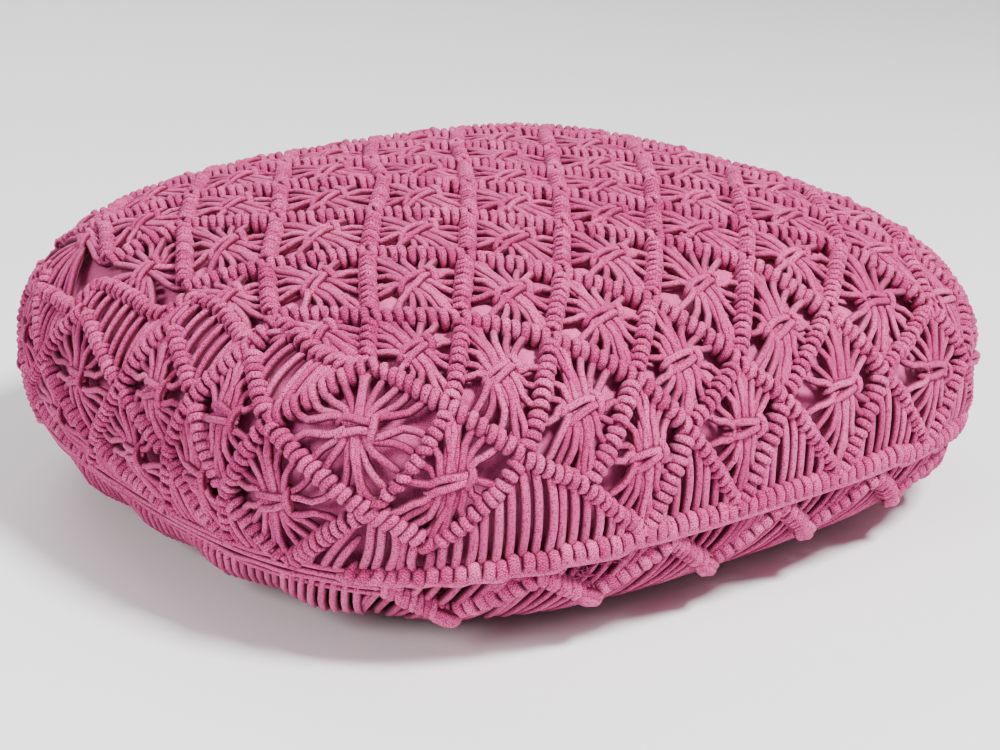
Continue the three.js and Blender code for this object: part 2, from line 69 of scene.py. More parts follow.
# The cushion's shape, which every panel is laid on
casingLow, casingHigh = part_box("inner_cushion")
shape = {
    "casingInset": 0.9,  # the casing's faces lie this far inside the shape
    "widestHeight": 84.0,
    "planPower": 3.2,  # how square the plan is
    "crownPower": 2.45,  # how full the upper half is
    "lowerPower": 2.35,  # how quickly the lower half rounds under
    "restShare": 0.64,  # share of the plan that lies flat
    "castPower": 2.6,  # the same two of the CAD cushion, before the cords draw it in
    "castShare": 0.7,
}
halfWidth = casingHigh.x / mm + shape["casingInset"]
halfDepth = casingHigh.y / mm + shape["casingInset"]
topHeight = casingHigh.z / mm + shape["casingInset"]
baseHeight = casingLow.z / mm - shape["casingInset"]
widest = shape["widestHeight"]


def planRadius(x, y):
    p = shape["planPower"]
    return (np.abs(x / halfWidth) ** p + np.abs(y / halfDepth) ** p) ** (1 / p)


def radiusAt(z, rest=shape["restShare"], power=shape["lowerPower"]):
    up = np.clip((z - widest) / (topHeight - widest), 0, 1) ** shape["crownPower"]
    down = np.clip((widest - z) / (widest - baseHeight), 0, 1) ** power
    lower = rest + (1 - rest) * (1 - down) ** (1 / power)
    return np.where(z >= widest, (1 - up) ** (1 / shape["crownPower"]), lower)


# Less than 0 inside the cushion, more than 0 outside
def outsideBy(x, y, z):
    r = planRadius(x, y)
    up = np.clip((z - widest) / (topHeight - widest), 0, None) ** shape["crownPower"]
    down = np.clip((widest - z) / (widest - baseHeight), 0, None) ** shape["lowerPower"]
    reach = np.clip(r - shape["restShare"], 0, None) / (1 - shape["restShare"])
    return np.where(z >= widest, r ** shape["crownPower"] + up - 1, reach ** shape["lowerPower"] + down - 1)


def outwardNormal(p):
    n = np.stack([
        outsideBy(*np.moveaxis(p + step, -1, 0)) - outsideBy(*np.moveaxis(p - step, -1, 0))
        for step in np.eye(3) * 0.05
    ], axis=-1)
    flat = np.zeros(p.shape)
    flat[..., 2] = np.sign(p[..., 2] - widest)
    return np.where(np.linalg.norm(n, axis=-1, keepdims=True) > tiny, unit(n), flat)


# Walks down the cushion in upright planes, from the crown to past the seam
def walkDown(at, alongY):
    angles = np.linspace(0, 2.3, 181)[None, :]  # from straight up
    at = np.asarray(at, float)[:, None]
    near = np.zeros((len(at), angles.size))
    far = near + 320.0
    for _ in range(30):  # halves the gap each time
        mid = (near + far) / 2
        side, z = mid * np.sin(angles), widest + mid * np.cos(angles)
        out = outsideBy(at, side, z) if alongY else outsideBy(side, at, z)
        near, far = np.where(out > 0, near, mid), np.where(out > 0, mid, far)
    side, z = near * np.sin(angles), widest + near * np.cos(angles)
    steps = np.hypot(np.diff(side), np.diff(z))
    return side, z, np.concatenate([np.zeros(at.shape), np.cumsum(steps, axis=1)], axis=1)


# The seam's height in the middle of the front, at a corner and in the middle of a side
seam = {
    "middle": 64.0,
    "corner": 51.0,
    "side": 47.0,
    "cornerX": 217.0,  # where the front turns into the side
    "cornerY": 184.0,
}


def seamHeight(x, y):
    front = seam["middle"] + (seam["corner"] - seam["middle"]) * np.minimum(1, (x / seam["cornerX"]) ** 2)
    side = seam["side"] + (seam["corner"] - seam["side"]) * np.minimum(1, (y / seam["cornerY"]) ** 2)
    return np.where(np.abs(y) / seam["cornerY"] > np.abs(x) / seam["cornerX"], front, side)


# Strands are laid on surfaces: grids of places and normals, read at any point between them
gridStep = 2.0


def makeSurface(uLine, vLine, places):
    return {"u": uLine, "v": vLine, "place": places, "normal": outwardNormal(places)}


def readSurface(surface, flat):
    u, v = surface["u"], surface["v"]
    fu = np.clip((flat[..., 0] - u[0]) / (u[1] - u[0]), 0, len(u) - 1.001)
    fv = np.clip((flat[..., 1] - v[0]) / (v[1] - v[0]), 0, len(v) - 1.001)
    i, j = fu.astype(int), fv.astype(int)
    a, b = (fu - i)[..., None], (fv - j)[..., None]

    def mix(grid):
        low = grid[i, j] * (1 - a) + grid[i + 1, j] * a
        high = grid[i, j + 1] * (1 - a) + grid[i + 1, j + 1] * a
        return low * (1 - b) + high * b

    normal = unit(mix(surface["normal"]))
    return mix(surface["place"]) + normal * flat[..., 2:3], normal


# The top panel's lattice of diamonds, in lengths of cloth: u across, v along
lattice = {
    "column": 33.0,  # half a diamond, across
    "row": 41.0,  # half a diamond, along
    "firstColumn": -6,
    "lastColumn": 7,
    "lastRow": 8,
    "naturalRows": 4,  # rows on the top that keep their own pitch
    "shift": 0.5,  # centres the columns on the cushion
    "cornerPull": 0.085,  # how far the selvage draws in at the upper corners
    "pullLength": 60.0,
    "plainCell": (-4, -7),  # left unknotted, its cords run straight down
}
selvage = (lattice["lastColumn"] - lattice["shift"]) * lattice["column"]
seamV = lattice["lastRow"] * lattice["row"]


def topSurface():
    step = 2.5
    u = np.arange(-240, 240 + step, step)
    v = np.arange(-360, 360 + step, step)
    side, _, length = walkDown([0.0], False)
    across = np.sign(u) * np.interp(np.abs(u), length[0], side[0])
    upper = lattice["naturalRows"] * lattice["row"]
    edgeShare = (np.abs(u) / selvage) ** 6
    fade = np.exp(-(((np.abs(v) - upper) / lattice["pullLength"]) ** 2))
    x = across[:, None] * (1 - lattice["cornerPull"] * edgeShare[:, None] * fade[None, :])
    stations = np.arange(0, 242, gridStep)
    sides, heights, lengths = walkDown(stations, True)
    y, z = np.zeros((len(stations), len(v))), np.zeros((len(stations), len(v)))
    for i, at in enumerate(stations):
        drop = max(1, np.argmin(np.abs(heights[i] - seamHeight(at, halfDepth))))
        whole = lengths[i][drop]
        away = np.abs(v)
        run = np.where(away <= upper, away, upper + (away - upper) * (whole - upper) / (seamV - upper))
        y[i] = np.sign(v) * np.interp(run, lengths[i], sides[i])
        z[i] = np.interp(run, lengths[i], heights[i])
    index = np.clip(np.abs(x) / gridStep, 0, len(stations) - 1.001)
    i = index.astype(int)
    f = index - i
    j = np.arange(len(v))[None, :]
    places = np.stack([x, y[i, j] * (1 - f) + y[i + 1, j] * f, z[i, j] * (1 - f) + z[i + 1, j] * f], axis=-1)
    return makeSurface(u, v, places)


# Lengths up the side, from the foot, at each height
climbZ = np.linspace(12, 176, 400)
climbS = lengthAlong(np.stack([climbZ, halfWidth * radiusAt(climbZ)], axis=-1))


def climb(z):
    return np.interp(z, climbZ, climbS)


# A side face: a runs to the right, seen from outside, and s up the side
def sideSurface(side):
    a = np.arange(-236, 238, gridStep)
    s = np.arange(0, climbS[-1], gridStep)
    across, height = np.meshgrid(a, np.interp(s, climbS, climbZ), indexing="ij")
    p = shape["planPower"]
    left = radiusAt(height) ** p - np.abs(across / halfDepth) ** p
    x = side * halfWidth * np.clip(left, 0, None) ** (1 / p)
    return makeSurface(a, s, np.stack([x, side * across, height], axis=-1))


# The outline's own length, t, runs from the middle of the front towards +X
def outline():
    angles = np.linspace(-1.5 * math.pi, 0.5 * math.pi, 2881)
    power = 2 / shape["planPower"]
    x = np.sign(np.cos(angles)) * np.abs(np.cos(angles)) ** power * halfWidth
    y = np.sign(np.sin(angles)) * np.abs(np.sin(angles)) ** power * halfDepth
    t = lengthAlong(np.stack([x, y], axis=-1))
    return angles, t - t[-1] / 2, x, y


outlineAngles, outlineT, outlineX, outlineY = outline()
roundLength = outlineT[-1] * 2


# All the way round the wall: t, and s up the side
def wallSurface():
    t = np.linspace(-roundLength / 2, roundLength / 2, 601)
    s = np.arange(0, climbS[-1], gridStep)
    z = np.interp(s, climbS, climbZ)
    x, y = np.interp(t, outlineT, outlineX), np.interp(t, outlineT, outlineY)
    radius = radiusAt(z)
    height = np.broadcast_to(z, (len(t), len(z)))
    return makeSurface(t, s, np.stack([x[:, None] * radius, y[:, None] * radius, height], axis=-1))


# The t and s of a place on the cushion
def onWall(place):
    x, y, z = place
    radius = planRadius(x, y)
    power = shape["planPower"] / 2
    c = np.sign(x) * np.abs(x / radius / halfWidth) ** power
    s = np.sign(y) * np.abs(y / radius / halfDepth) ** power
    angle = math.atan2(s, c)
    if angle > math.pi / 2:
        angle -= tau
    return np.array([np.interp(angle, outlineAngles, outlineT), climb(z)])


# The rim under the seam: t, and the way down from the seam and then in under the cushion
def rimSurface():
    past = roundLength / 2 + 90  # slanted cords run on across the join at the back
    wall, flat = 90, 40  # points down the wall, and in over the flat
    t = np.linspace(-past, past, 661)
    x = np.interp(t, outlineT, outlineX, period=roundLength)
    y = np.interp(t, outlineT, outlineY, period=roundLength)
    down = np.arange(-10, 230, gridStep)
    places = np.zeros((len(t), len(down), 3))
    for i in range(len(t)):
        seamZ = seamHeight(x[i], y[i])
        z = np.concatenate([np.linspace(seamZ + 30, baseHeight, wall), np.full(flat, baseHeight)])
        radius = np.concatenate([radiusAt(z[:wall]), np.linspace(shape["restShare"], 0.05, flat + 1)[1:]])
        line = np.stack([x[i] * radius, y[i] * radius, z], axis=-1)
        run = lengthAlong(line)
        start = np.interp(-seamZ, -z[:wall], run[:wall])
        for k in range(3):
            places[i, :, k] = np.interp(start + down, run, line[:, k])
    surface = makeSurface(t, down, places)
    surface["normal"][places[..., 2] < baseHeight + 0.01] = (0, 0, -1)
    return surface


topFace = topSurface()
sideFaces = {-1: sideSurface(-1), 1: sideSurface(1)}
wallFace = wallSurface()
rimFace = rimSurface()
print("surfaces laid, outline", round(roundLength), "mm round")


# Strands: a smooth way through a few points, with rings of cord round it
def throughWeights(count, rings):
    own = np.eye(count)
    padded = np.vstack([2 * own[0] - own[1], own, 2 * own[-1] - own[-2]])
    rows = []
    for t in np.linspace(0, count - 1, rings):
        i = min(int(t), count - 2)
        f = t - i
        a, b, c, d = padded[i:i + 4]
        rows.append(0.5 * (2 * b + (c - a) * f + (2 * a - 5 * b + 4 * c - d) * f ** 2
                           + (3 * b - a - 3 * c + d) * f ** 3))
    return np.array(rows)


# Each path becomes a tube with so many rings along it, closed by a point at both ends.
# ends is the share of the width that the first and the last ring have.
def sweep(surface, paths, rings, width, thick=None, sides=8, ends=0.7):
    paths = np.asarray(paths, float)
    count, thick = len(paths), thick or width
    flat = np.einsum("rk,nkd->nrd", throughWeights(paths.shape[1], rings), paths)
    line, normal = readSurface(surface, flat)
    tangent = unit(np.gradient(line, axis=1))
    across = unit(np.cross(tangent, normal))
    over = np.cross(across, tangent)
    angle = np.arange(sides) / sides * tau
    size = np.ones((rings, 1))
    size[[0, -1]] = ends
    wide, high = np.cos(angle) * width / 2 * size, np.sin(angle) * thick / 2 * size
    tube = line[:, :, None] + across[:, :, None] * wide[..., None] + over[:, :, None] * high[..., None]
    poles = line[:, [0, -1]] + tangent[:, [0, -1]] * np.array([[-0.2], [0.2]]) * width
    points = np.concatenate([tube.reshape(count, rings * sides, 3), poles], axis=1)
    height = (flat[:, :, 2:] + np.sin(angle) * thick / 2).reshape(count, -1)
    steps = np.linalg.norm(np.diff(line, axis=1), axis=-1)
    run = np.concatenate([np.zeros((count, 1)), np.cumsum(steps, axis=1)], axis=1)

    # Faces, each corner given by its ring and its place round the ring
    quads = np.array([
        [(r, s), (r + 1, s), (r + 1, s + 1), (r, s + 1)] for r in range(rings - 1) for s in range(sides)])
    caps = np.array([
        [(r, s), (r, s + (r > 0)), (r, s + (r == 0))] for s in range(sides) for r in (0, rings - 1)])
    quadCorners, capCorners = (table[..., 0] * sides + table[..., 1] % sides for table in (quads, caps))
    capCorners[:, 0] = rings * sides + (caps[:, 0, 0] > 0)
    base = (np.arange(count) * points.shape[1])[:, None, None]
    offset = draw.uniform(0, 50, count)[:, None, None]

    def spread(table):
        along = run[:, table[..., 0]] + offset
        turn = np.broadcast_to(table[..., 1] / sides, along.shape)
        return np.stack([along, turn], axis=-1).reshape(-1, 2)

    return {
        "points": points.reshape(-1, 3),
        "quads": (base + quadCorners).reshape(-1, 4),
        "caps": (base + capCorners).reshape(-1, 3),
        "quadUv": spread(quads),
        "capUv": spread(caps),
        "tone": np.repeat(draw.uniform(0, 1, count), points.shape[1]),
        "height": np.concatenate([height, flat[:, [0, -1], 2]], axis=1).ravel(),
    }


# One mesh from any number of swept strands
def strandPiece(name, parts, replaced):
    starts = np.cumsum([0] + [len(part["points"]) for part in parts])

    def joined(key, shifts=starts * 0):
        return np.concatenate([part[key] + shift for part, shift in zip(parts, shifts)])

    points, quads, caps = joined("points"), joined("quads", starts), joined("caps", starts)
    mesh = bpy.data.meshes.new(name)
    mesh.vertices.add(len(points))
    mesh.vertices.foreach_set("co", (points * mm).astype(np.float32).ravel())
    corners = np.concatenate([quads.ravel(), caps.ravel()]).astype(np.int32)
    mesh.loops.add(len(corners))
    mesh.loops.foreach_set("vertex_index", corners)
    loopStarts = np.concatenate([np.arange(len(quads)) * 4, len(quads) * 4 + np.arange(len(caps)) * 3])
    mesh.polygons.add(len(loopStarts))
    mesh.polygons.foreach_set("loop_start", loopStarts.astype(np.int32))
    mesh.polygons.foreach_set("use_smooth", np.ones(len(loopStarts), bool))
    mesh.update(calc_edges=True)
    uvs = np.concatenate([joined("quadUv"), joined("capUv")])
    mesh.uv_layers.new(name="cord").data.foreach_set("uv", uvs.astype(np.float32).ravel())
    for key in ("tone", "height"):
        mesh.attributes.new(key, "FLOAT", "POINT").data.foreach_set("value", joined(key).astype(np.float32))
    mesh.materials.append(cordFinish)
    piece = bpy.data.objects.new(name, mesh)
    bpy.context.scene.collection.objects.link(piece)
    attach(piece, "root")
    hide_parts(replaced)
    print(name, len(quads) * 2 + len(caps), "triangles")


# Materials. A socket takes a number, a colour or another node's output.
def fill(tree, node, sockets):
    for key, value in sockets.items():
        if isinstance(value, bpy.types.NodeSocket):
            tree.links.new(value, node.inputs[key])
        else:
            node.inputs[key].default_value = (*value, 1) if isinstance(value, tuple) else value


def addNode(tree, kind, sockets, **settings):
    node = tree.nodes.new("ShaderNode" + kind)
    for key, value in settings.items():
        setattr(node, key, value)
    fill(tree, node, sockets)
    return node


def newMaterial(name):
    material = bpy.data.materials.new(name)
    material.use_nodes = True
    return material, material.node_tree


def calculate(tree, operation, *values):
    return addNode(tree, "Math", dict(enumerate(values)), operation=operation).outputs[0]


# The sum of some outputs, each times its share
def weighted(tree, outputs, shares):
    total = 0.0
    for value, share in zip(outputs, shares):
        total = calculate(tree, "MULTIPLY_ADD", value, share, total)
    return total


def noise(tree, place, scale, detail):
    return addNode(tree, "TexNoise", {"Vector": place, "Scale": scale, "Detail": detail}).outputs["Fac"]


# A value, its lowest and highest, and what these two become
def mapRange(tree, *values):
    return addNode(tree, "MapRange", dict(enumerate(values))).outputs["Result"]


def mixColours(tree, share, first, second, blend="MIX"):
    sockets = {0: share, 6: first, 7: second}
    return addNode(tree, "Mix", sockets, data_type="RGBA", blend_type=blend).outputs[2]


# From a look's deep colour over its middle one to its pale one
def grainColour(tree, look, grain):
    node = addNode(tree, "ValToRGB", {"Fac": grain})
    node.color_ramp.elements.new(0.5)
    for element, position, key in zip(node.color_ramp.elements, look["stops"], ("deep", "middle", "pale")):
        element.position = position
        element.color = (*look[key], 1)
    return node.outputs["Color"]


# The two lengths of a UV map, and the place in the object
def readPlaces(tree, uvMap):
    uv = addNode(tree, "UVMap", {}, uv_map=uvMap)
    split = addNode(tree, "SeparateXYZ", {0: uv.outputs["UV"]})
    return split.outputs["X"], split.outputs["Y"], addNode(tree, "TexCoord", {}).outputs["Object"]


def finishCloth(tree, look, colour, height):
    sockets = {"Strength": look["bump"], "Distance": look["bumpDepth"] * mm, "Height": height}
    fill(tree, tree.nodes["Principled BSDF"], {
        "Base Color": colour,
        "Normal": addNode(tree, "Bump", sockets).outputs["Normal"],
        "Roughness": look["roughness"],
        "Specular IOR Level": look["specular"],
        "Sheen Weight": look["sheen"],
        "Sheen Roughness": 0.5,
        "Sheen Tint": look["sheenTint"],
    })


cordLook = {
    "deep": (0.200, 0.004, 0.056),
    "middle": (0.510, 0.050, 0.195),
    "pale": (0.900, 0.230, 0.470),
    "stops": (0.28, 0.44, 0.68),  # of the grain, where these three lie
    "grain": (0.26, 0.12, 0.20, 0.10, 0.18),  # shares of speck, rib, fibre, tone and cloud in it
    "speck": (1500.0, 1.0),  # scale and detail
    "fibre": (3000.0, 2.0),
    "cloud": (40.0, 2.0),
    "dots": (1250.0, 0.0),
    "dotRange": (0.34, 0.43),  # of the noise, from a dot's middle to its edge
    "speckle": 0.85,  # strength of the dots, between stitches
    "shade": (0.27, 0.09, 0.14),  # painted shade: multiplies the colour next to the casing
    "shadeHeight": 6.0,  # over the casing, where the painted shade ends
    "creaseShade": (0.20, 0.03, 0.08),  # painted shade: multiplies it where cords lie side by side, in the grooves between them
    "creaseFrom": 0.50,  # of the way from the cord's top to its side, where the painted shade begins
    "creasePower": 1.7,
    "creaseHeight": 8.8,  # over the casing, above which a cord has air on both sides and no painted shade
    "creaseFade": 2.0,
    "stitch": 1.0,  # length of one stitch of the braid
    "ribs": 7,  # chevrons round the cord
    "slope": 0.7,  # of a chevron, in stitches
    "bump": 0.45,
    "bumpDepth": 0.3,
    "bumpFibre": 0.8,
    "roughness": 0.88,
    "specular": 0.15,
    "sheen": 0.08,
    "sheenTint": (1.0, 0.75, 0.85),
}


def cordMaterial():
    look = cordLook
    material, tree = newMaterial("braidedCotton")
    along, turn, place = readPlaces(tree, "cord")
    tone, over = (
        addNode(tree, "Attribute", {}, attribute_name=key).outputs["Fac"] for key in ("tone", "height"))
    speck, fibre, cloud, dots = (
        noise(tree, place, *look[key]) for key in ("speck", "fibre", "cloud", "dots"))

    wave = calculate(tree, "PINGPONG", calculate(tree, "MULTIPLY", turn, look["ribs"] * 2), 1.0)
    chevron = weighted(tree, (along, wave), (1 / look["stitch"], look["slope"]))
    rib = calculate(tree, "SINE", calculate(tree, "MULTIPLY", chevron, tau))
    rib = calculate(tree, "MULTIPLY_ADD", rib, 0.5, 0.5)
    colour = grainColour(tree, look, weighted(tree, (speck, rib, fibre, tone, cloud), look["grain"]))

    # Painted shade: the nearer a cord lies to the casing, the darker it is
    shadeNearCasing = mapRange(tree, over, 0.0, look["shadeHeight"], 1.0, 0.0)
    colour = mixColours(tree, shadeNearCasing, colour, look["shade"], "MULTIPLY")
    dark = mapRange(tree, dots, *look["dotRange"], look["speckle"], 0.0)
    colour = mixColours(tree, dark, colour, look["deep"])

    # Painted shade in the grooves between cords that lie side by side: darkest at a cord's sides, fading out
    # where a cord stands clear of its neighbours
    side = calculate(tree, "ABSOLUTE", calculate(tree, "COSINE", calculate(tree, "MULTIPLY", turn, tau)))
    creaseShade = mapRange(tree, side, look["creaseFrom"], 1.0, 0.0, 1.0)
    creaseShade = calculate(tree, "POWER", creaseShade, look["creasePower"])
    covered = mapRange(tree, over, look["creaseHeight"], look["creaseHeight"] + look["creaseFade"], 1.0, 0.0)
    creaseShade = calculate(tree, "MULTIPLY", creaseShade, covered)
    colour = mixColours(tree, creaseShade, colour, look["creaseShade"], "MULTIPLY")
    finishCloth(tree, look, colour, weighted(tree, (rib, fibre), (1.0, look["bumpFibre"])))
    return material


casingLook = {
    "yarn": 1.15,  # pitch of the plain weave
    "deep": (0.360, 0.018, 0.115),
    "middle": (0.660, 0.092, 0.275),
    "pale": (0.840, 0.200, 0.420),
    "stops": (0.30, 0.52, 0.80),
    "grain": (0.25, 0.4, 0.35),  # shares of weave, slub and cloud in it
    "slub": (900.0, 2.0),
    "cloud": (30.0, 3.0),
    "bump": 0.5,
    "bumpDepth": 0.25,
    "roughness": 0.9,
    "specular": 0.2,
    "sheen": 0.08,
    "sheenTint": (1.0, 1.0, 1.0),
}


def casingMaterial():
    look = casingLook
    material, tree = newMaterial("wovenCasing")
    *uv, place = readPlaces(tree, "weave")
    warp, weft = (calculate(tree, "SINE", calculate(tree, "MULTIPLY", way, tau / look["yarn"])) for way in uv)
    weave = calculate(tree, "MULTIPLY_ADD", calculate(tree, "MULTIPLY", warp, weft), 0.5, 0.5)
    slub, cloud = (noise(tree, place, *look[key]) for key in ("slub", "cloud"))
    colour = grainColour(tree, look, weighted(tree, (weave, slub, cloud), look["grain"]))
    finishCloth(tree, look, colour, calculate(tree, "ADD", weave, slub))
    return material


cordFinish = cordMaterial()
casingFinish = casingMaterial()


# Bars: each cord makes two wraps over a holding cord
bar = {
    "pitch": 5.26,  # along the bar, from one wrap to the next
    "half": 3.1,  # how far a wrap's middle line reaches to each side
    "top": 7.4,  # height of that line over the casing
    "profile": (  # of that line: places between its two ends, and shares of its height
        (-1, -0.05), (-0.96, 0.42), (-0.62, 0.86), (0, 1), (0.62, 0.86), (0.96, 0.42), (1, -0.05),
    ),
    "pair": 0.2,  # how far the two wraps of a cord move together
    # Kept free at both ends, and how far a wrap's ends slide along the bar. The falling bars run through
    # where the rising ones stop.
    "rising": (3.6, 0.7),
    "falling": (0.2, -1.5),
    "cord": 5.0,
    "closeCord": 5.15,  # of the falling bars, whose wraps touch
    "thick": 4.6,
    "core": (6.0, 5.0),  # width and thickness of the holding cord
    "coreHeight": 4.2,
}


# How much longer a straight line of the flat cloth is on the cushion, at the wraps' height
def stretch(surface, start, end, height):
    line, _ = readSurface(surface, np.linspace((*start, height), (*end, height), 9))
    return lengthAlong(line)[-1] / np.linalg.norm(end - start)


# The wraps of one bar. Their count follows from its length on the cushion.
def wrapPaths(surface, start, end, startFree, endFree, half=bar["half"], top=bar["top"], pitch=bar["pitch"],
              lean=bar["rising"][1], rise=0.0):
    length = np.linalg.norm(end - start)
    way = unit(end - start)
    side = np.array([-way[1], way[0]])
    usable = length - startFree - endFree
    count = max(1, round(usable * stretch(surface, start, end, top) / pitch))
    paths = []
    for i in range(count):
        along = startFree + (i + 0.5) * usable / count + stray(0.2)
        near = bar["pair"] if i % 2 else -bar["pair"]
        slide = lean + stray(0.5)
        size = 1 + stray(0.07)
        lift = stray(0.35)
        path = []
        for share, height in bar["profile"]:
            spot = start + way * (along - near + slide * share) + side * half * size * share
            path.append((*spot, (top + rise * along / length) * height + lift))
        paths.append(path)
    return paths


# A bar's wraps, under its kind, and its holding cord
def addBar(strands, kind, surface, start, end, *free, **settings):
    strands[kind].extend(wrapPaths(surface, start, end, *free, **settings))
    strands["cores"].append([(*(start + (end - start) * t), bar["coreHeight"]) for t in np.linspace(0, 1, 5)])


# A cord that lies over the casing and may bow sideways or dip between its two ends
def bowedCord(start, end, heights, bow=0.0, dip=0.0):
    path = []
    for t, height in zip(np.linspace(0, 1, len(heights)), heights):
        u, v = start + (end - start) * t
        arch = math.sin(t * math.pi)
        path.append((u + bow * arch, v, height - dip * arch))
    return path


# Fans and square knots of one diamond
knot = {
    "cord": 4.6,
    "shares": (0.08, 0.24, 0.40, 0.56, 0.72),  # where cords leave a bar, from its upper end
    "foot": 3.9,  # from the bar's middle line to where they come out
    "fanCord": 4.4,
    "spread": 1.8,  # from one cord to the next at the knot
    "under": 1.3,  # how much lower every second cord lies
    "uneven": 0.5,
    "atEdge": 1.5,  # a half diamond's knot lies this far inside the selvage
    "halfSize": 0.85,
}


def bezier(a, b, c, d, t):
    return a * (1 - t) ** 3 + 3 * b * t * (1 - t) ** 2 + 3 * c * t ** 2 * (1 - t) + d * t ** 3


# The cords between a knot and one bar: up is 1 for an upper bar and -1 for a lower one,
# right is 1 for one on the right and -1 for one on the left
def fanPaths(tip, corner, centre, up, right):
    paths = []
    along = unit(corner - tip)
    inward = np.array([along[1], -along[0]])
    inward *= np.sign(inward @ (centre - tip))
    for j, share in enumerate(knot["shares"]):
        edge = tip + (corner - tip) * (share + stray(0.025))
        foot = edge + inward * knot["foot"]
        end = centre + np.array([right * (1.0 + knot["spread"] * j) + stray(knot["uneven"]), up * 3.2])
        inside = centre + np.array([right * (0.6 + 1.1 * j), -up * 1.0])
        leave = foot + inward * (5.0 + 1.2 * j)
        arrive = end + np.array([right * (0.4 + 0.7 * j), up * (9.0 - 1.1 * j)]) + stray(0.6, 2)
        low = knot["under"] * (j % 2)
        paths.append([
            (*edge, 2.0),
            (*foot, 2.6),
            (*bezier(foot, leave, arrive, end, 0.33), 4.4 - low),
            (*bezier(foot, leave, arrive, end, 0.68), 4.9 - low),
            (*end, 4.8 - low),
            (*inside, 3.2 - low),
        ])
    return paths


# The strands of a square knot: two that lie across and a loop at their right end
knotStrands = (  # across, along and height of each point
    ((-10.6, 0.6, 1), (-8.4, 2.4, 4.6), (-4, 3.1, 6.6), (2, 2.7, 7.2), (6.3, 2, 6.6), (9.2, 1, 4.6)),
    ((-11, -3.8, 1), (-8.6, -4.2, 4.6), (-4, -3.5, 6.6), (2, -2.1, 7.2), (6.3, -1.2, 6.6), (9.2, -0.4, 4.6)),
    ((7.4, 6.2, 1.8), (8.5, 4.5, 5.6), (9.1, 1.7, 8), (8.9, -1.7, 8), (8, -4.5, 5.6), (7, -6.4, 1.8)),
)


def knotPaths(centre, turn=0.0, size=1.0):
    turn = turn + stray(0.16)
    size = size * (1 + stray(0.07))
    rotation = np.array([[math.cos(turn), math.sin(turn)], [-math.sin(turn), math.cos(turn)]])
    paths = []
    for strand in np.array(knotStrands):
        bend = stray(knot["uneven"], (len(strand), 2))
        flat = centre + size * strand[:, :2] @ rotation + bend
        paths.append(np.column_stack([flat, strand[:, 2]]))
    return paths


# The cords to and from a knot, from the crossings above and below it and the corners beside it
def addKnot(strands, centre, upper, lower, corners, **settings):
    for kind, tip, up in (("fansIn", upper, 1), ("fansOut", lower, -1)):
        for corner, right in corners:
            strands[kind].extend(fanPaths(tip, corner, centre, up, right))
    strands["knots"].extend(knotPaths(centre, **settings))


def addDiamond(strands, left, upper, right, lower):
    centre = (left + right + upper + lower) / 4 + stray(1.0, 2)
    turn = math.atan2(*(right - left)[::-1]) * 0.5
    addKnot(strands, centre, upper, lower, ((left, -1), (right, 1)), turn=turn)


# How the handwork strays from an even lattice, in powers of u and v
drift = {
    "powers": ((0, 0), (1, 0), (0, 1), (2, 0), (1, 1), (0, 2), (3, 0), (2, 1), (1, 2), (0, 3)),
    "across": (10.6, 2.7, -18.0, 16.0, -2.8, -16.1, 15.0, -0.2, 1.8, 1.4),
    "along": (19.3, 12.4, 13.5, 0.9, 10.0, 22.0, 2.7, 5.2, 9.6, 11.5),
    "unit": 200.0,
    "flattensAt": 60.0,
    "mostAcross": 16.0,
    "mostAlong": 27.0,
    "strays": {  # single crossings that lie off it, in mm across and along
        (-6, -4): (14, 14), (-6, -2): (12, 0), (-6, 0): (6, -8), (-6, 2): (0, -13), (-5, 3): (-10, -2),
        (-5, 1): (8, 9), (-5, -5): (5, -7), (-5, -3): (1, -8), (-5, -7): (-3, -8), (-4, -6): (-1, -14),
        (-2, -8): (9, 0), (-2, 0): (9, 4), (-1, -7): (-7, 9), (0, -6): (-4, -12), (0, -4): (6, 8),
        (1, -5): (9, 10), (1, -7): (-11, 7), (1, -1): (-7, -7), (2, 0): (-6, -8), (3, -5): (11, 7),
        (3, 1): (7, 9), (3, -7): (-10, 3), (4, -6): (9, -10), (4, -2): (8, 4), (2, -2): (-4, -7),
    },
}


# The flat place of a crossing
def node(column, row):
    u, v = (column - lattice["shift"]) * lattice["column"], row * lattice["row"]
    a, b = u / drift["unit"], min(v, drift["flattensAt"]) / drift["unit"]
    across = sum(c * a ** i * b ** j for c, (i, j) in zip(drift["across"], drift["powers"]))
    along = sum(c * a ** i * b ** j for c, (i, j) in zip(drift["along"], drift["powers"]))
    across = max(-drift["mostAcross"], min(across, drift["mostAcross"])) * (1 - min(1, abs(u) / selvage) ** 5)
    along = max(-drift["mostAlong"], min(along, drift["mostAlong"])) * (1 - min(1, abs(v) / seamV) ** 8)
    strayAcross, strayAlong = drift["strays"].get((column, row), (0, 0))
    return np.array([u + across + strayAcross, v + along + strayAlong])


first, final, rows = lattice["firstColumn"], lattice["lastColumn"], lattice["lastRow"]
plainColumn, plainRow = lattice["plainCell"]
bareBars = {  # each from its left crossing to its right one
    (plainColumn - 1, plainRow, plainColumn, plainRow - 1),
    (plainColumn, plainRow - 1, plainColumn + 1, plainRow),
    (first, -rows, first + 1, 1 - rows),
}
cornerCell = (first, -5)  # reaches round the near corner into the side band
footCell = (first, -7)  # straight cords under it


